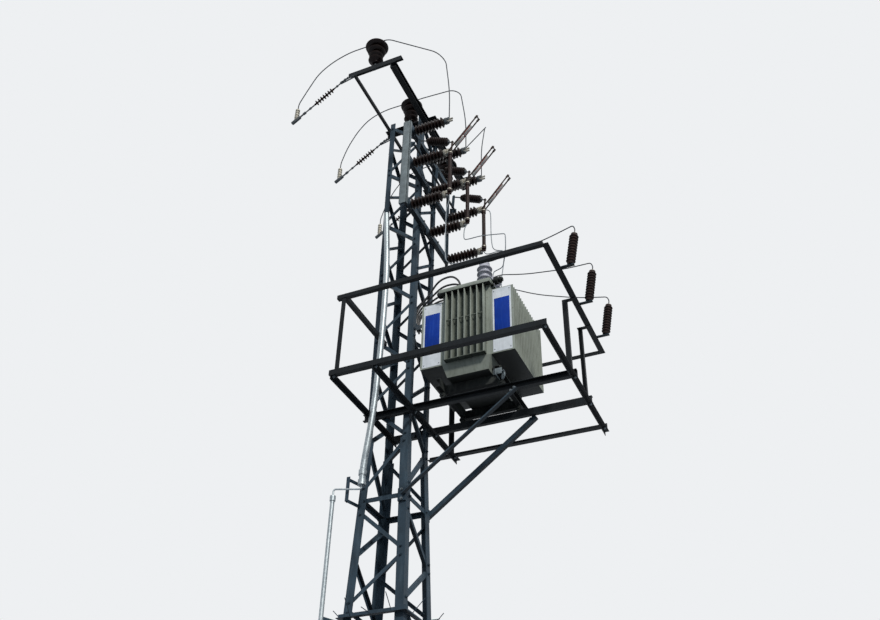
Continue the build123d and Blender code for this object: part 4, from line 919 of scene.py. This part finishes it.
def lay_floor(scene):
    """Add the pale floor, which keeps the mast's shadow."""
    shape = bmesh.new()
    bmesh.ops.create_grid(shape, x_segments=1, y_segments=1, size=40)
    mesh = bpy.data.meshes.new("floor")
    shape.to_mesh(mesh)
    shape.free()
    floor = bpy.data.objects.new("floor", mesh)
    scene.collection.objects.link(floor)
    material = bpy.data.materials.new("pale_floor")
    material.use_nodes = True
    mesh.materials.append(material)
    tree = material.node_tree
    shader = tree.nodes["Principled BSDF"]
    shader.inputs["Base Color"].default_value = linear("#d9dadb")
    shader.inputs["Roughness"].default_value = 0.9
    # Pale to the eye, but it throws no more light up than bare ground does
    ground = put(tree, "ShaderNodeBsdfDiffuse", {"Color": linear("#4c4f50")})
    mixed = put(tree, "ShaderNodeMixShader",
                {0: direct_rays(tree), 1: ground.outputs["BSDF"], 2: shader.outputs["BSDF"]})
    tree.links.new(mixed.outputs["Shader"], tree.nodes["Material Output"].inputs["Surface"])


def fill_sky(scene):
    """Light the world from above and show it as a pale backdrop."""
    world = bpy.data.worlds.new("sky")
    scene.world = world
    world.use_nodes = True
    tree = world.node_tree
    tree.nodes.clear()
    # The fill is bright above and weak below, so undersides fall into shade
    place = put(tree, "ShaderNodeTexCoord")
    aim = put(tree, "ShaderNodeSeparateXYZ", {"Vector": place.outputs["Generated"]})
    level = put(tree, "ShaderNodeMapRange", {"Value": aim.outputs["Z"], "From Min": -0.2, "From Max": 0.6,
                                             "To Min": 0.06, "To Max": 1.3})
    fill = put(tree, "ShaderNodeBackground",
               {"Color": linear("#c2d0e0"), "Strength": level.outputs["Result"]})
    pale = put(tree, "ShaderNodeBackground", {"Color": linear("#eef0f2"), "Strength": 1.0})
    mixed = put(tree, "ShaderNodeMixShader",
                {0: direct_rays(tree), 1: fill.outputs["Background"], 2: pale.outputs["Background"]})
    put(tree, "ShaderNodeOutputWorld", {"Surface": mixed.outputs["Shader"]})


def hang_sun(scene):
    """Add the sun, high behind the camera and a little to its right."""
    lamp = bpy.data.lights.new("sun", "SUN")
    lamp.energy = 2.9
    lamp.angle = radians(6)
    lamp.color = (1.0, 0.97, 0.92)
    sun = bpy.data.objects.new("sun", lamp)
    sun.matrix_world = at((0, 0, 14), (0.52, -0.6, 0.62))
    scene.collection.objects.link(sun)


def aim_camera(scene):
    """Stand the camera at the photograph's viewpoint."""
    right = Vector((cos(YAW), sin(YAW), 0))
    ahead = Vector((-sin(YAW) * cos(PITCH), cos(YAW) * cos(PITCH), sin(PITCH)))
    above = right.cross(ahead)
    across = right * cos(ROLL) + above * sin(ROLL)
    upward = above * cos(ROLL) - right * sin(ROLL)
    lens = bpy.data.cameras.new("view")
    lens.sensor_width = SENSOR
    lens.lens = FOCAL_PIXELS * SENSOR / PICTURE_WIDTH
    camera = bpy.data.objects.new("view", lens)
    scene.collection.objects.link(camera)
    pose = Matrix((across, upward, -ahead)).transposed().to_4x4()
    pose.translation = EYE
    camera.matrix_world = pose
    scene.camera = camera


class MAST_OT_stage(Operator):
    """Set the floor, the light, the world and the camera"""
    bl_idname = "mast.stage"
    bl_label = "Stage"

    def execute(self, context):
        for part in (lay_floor, fill_sky, hang_sun, aim_camera):
            part(context.scene)
        context.scene.view_settings.view_transform = "Standard"
        return {"FINISHED"}


class MAST_PT_panel(Panel):
    """Steps that dress the mast"""
    bl_idname = "MAST_PT_panel"
    bl_label = "Transformer mast"
    bl_space_type = "VIEW_3D"
    bl_region_type = "UI"
    bl_category = "Mast"

    def draw(self, context):
        for group in (context.scene.mast_sizes, context.scene.mast_finishes):
            for name in group.__annotations__:
                self.layout.prop(group, name)
        for step in steps_in_order:
            self.layout.operator(step.bl_idname)


steps_in_order = (
    MAST_OT_stage, MAST_OT_finishes, MAST_OT_post_insulators, MAST_OT_bushings, MAST_OT_pin_insulators,
    MAST_OT_tension_strings, MAST_OT_arresters, MAST_OT_switch_frame, MAST_OT_blades, MAST_OT_rods,
    MAST_OT_fuses, MAST_OT_conductors, MAST_OT_bushing_wires, MAST_OT_bolts, MAST_OT_lid_bolts,
    MAST_OT_end_fins, MAST_OT_tank_trim, MAST_OT_signs,
)
classes = (MAST_PG_sizes, MAST_PG_finishes, MAST_PT_panel) + steps_in_order


def register():
    """Register the classes and hang their settings on the scene."""
    for group in classes:
        bpy.utils.register_class(group)
    bpy.types.Scene.mast_sizes = PointerProperty(type=MAST_PG_sizes)
    bpy.types.Scene.mast_finishes = PointerProperty(type=MAST_PG_finishes)


def unregister():
    """Take the settings and the classes away again."""
    del bpy.types.Scene.mast_sizes
    del bpy.types.Scene.mast_finishes
    for group in reversed(classes):
        bpy.utils.unregister_class(group)


def main():
    """Run every step in order."""
    register()
    for step in steps_in_order:
        group, name = step.bl_idname.split(".")
        getattr(getattr(bpy.ops, group), name)()


if __name__ == "__main__":
    main()
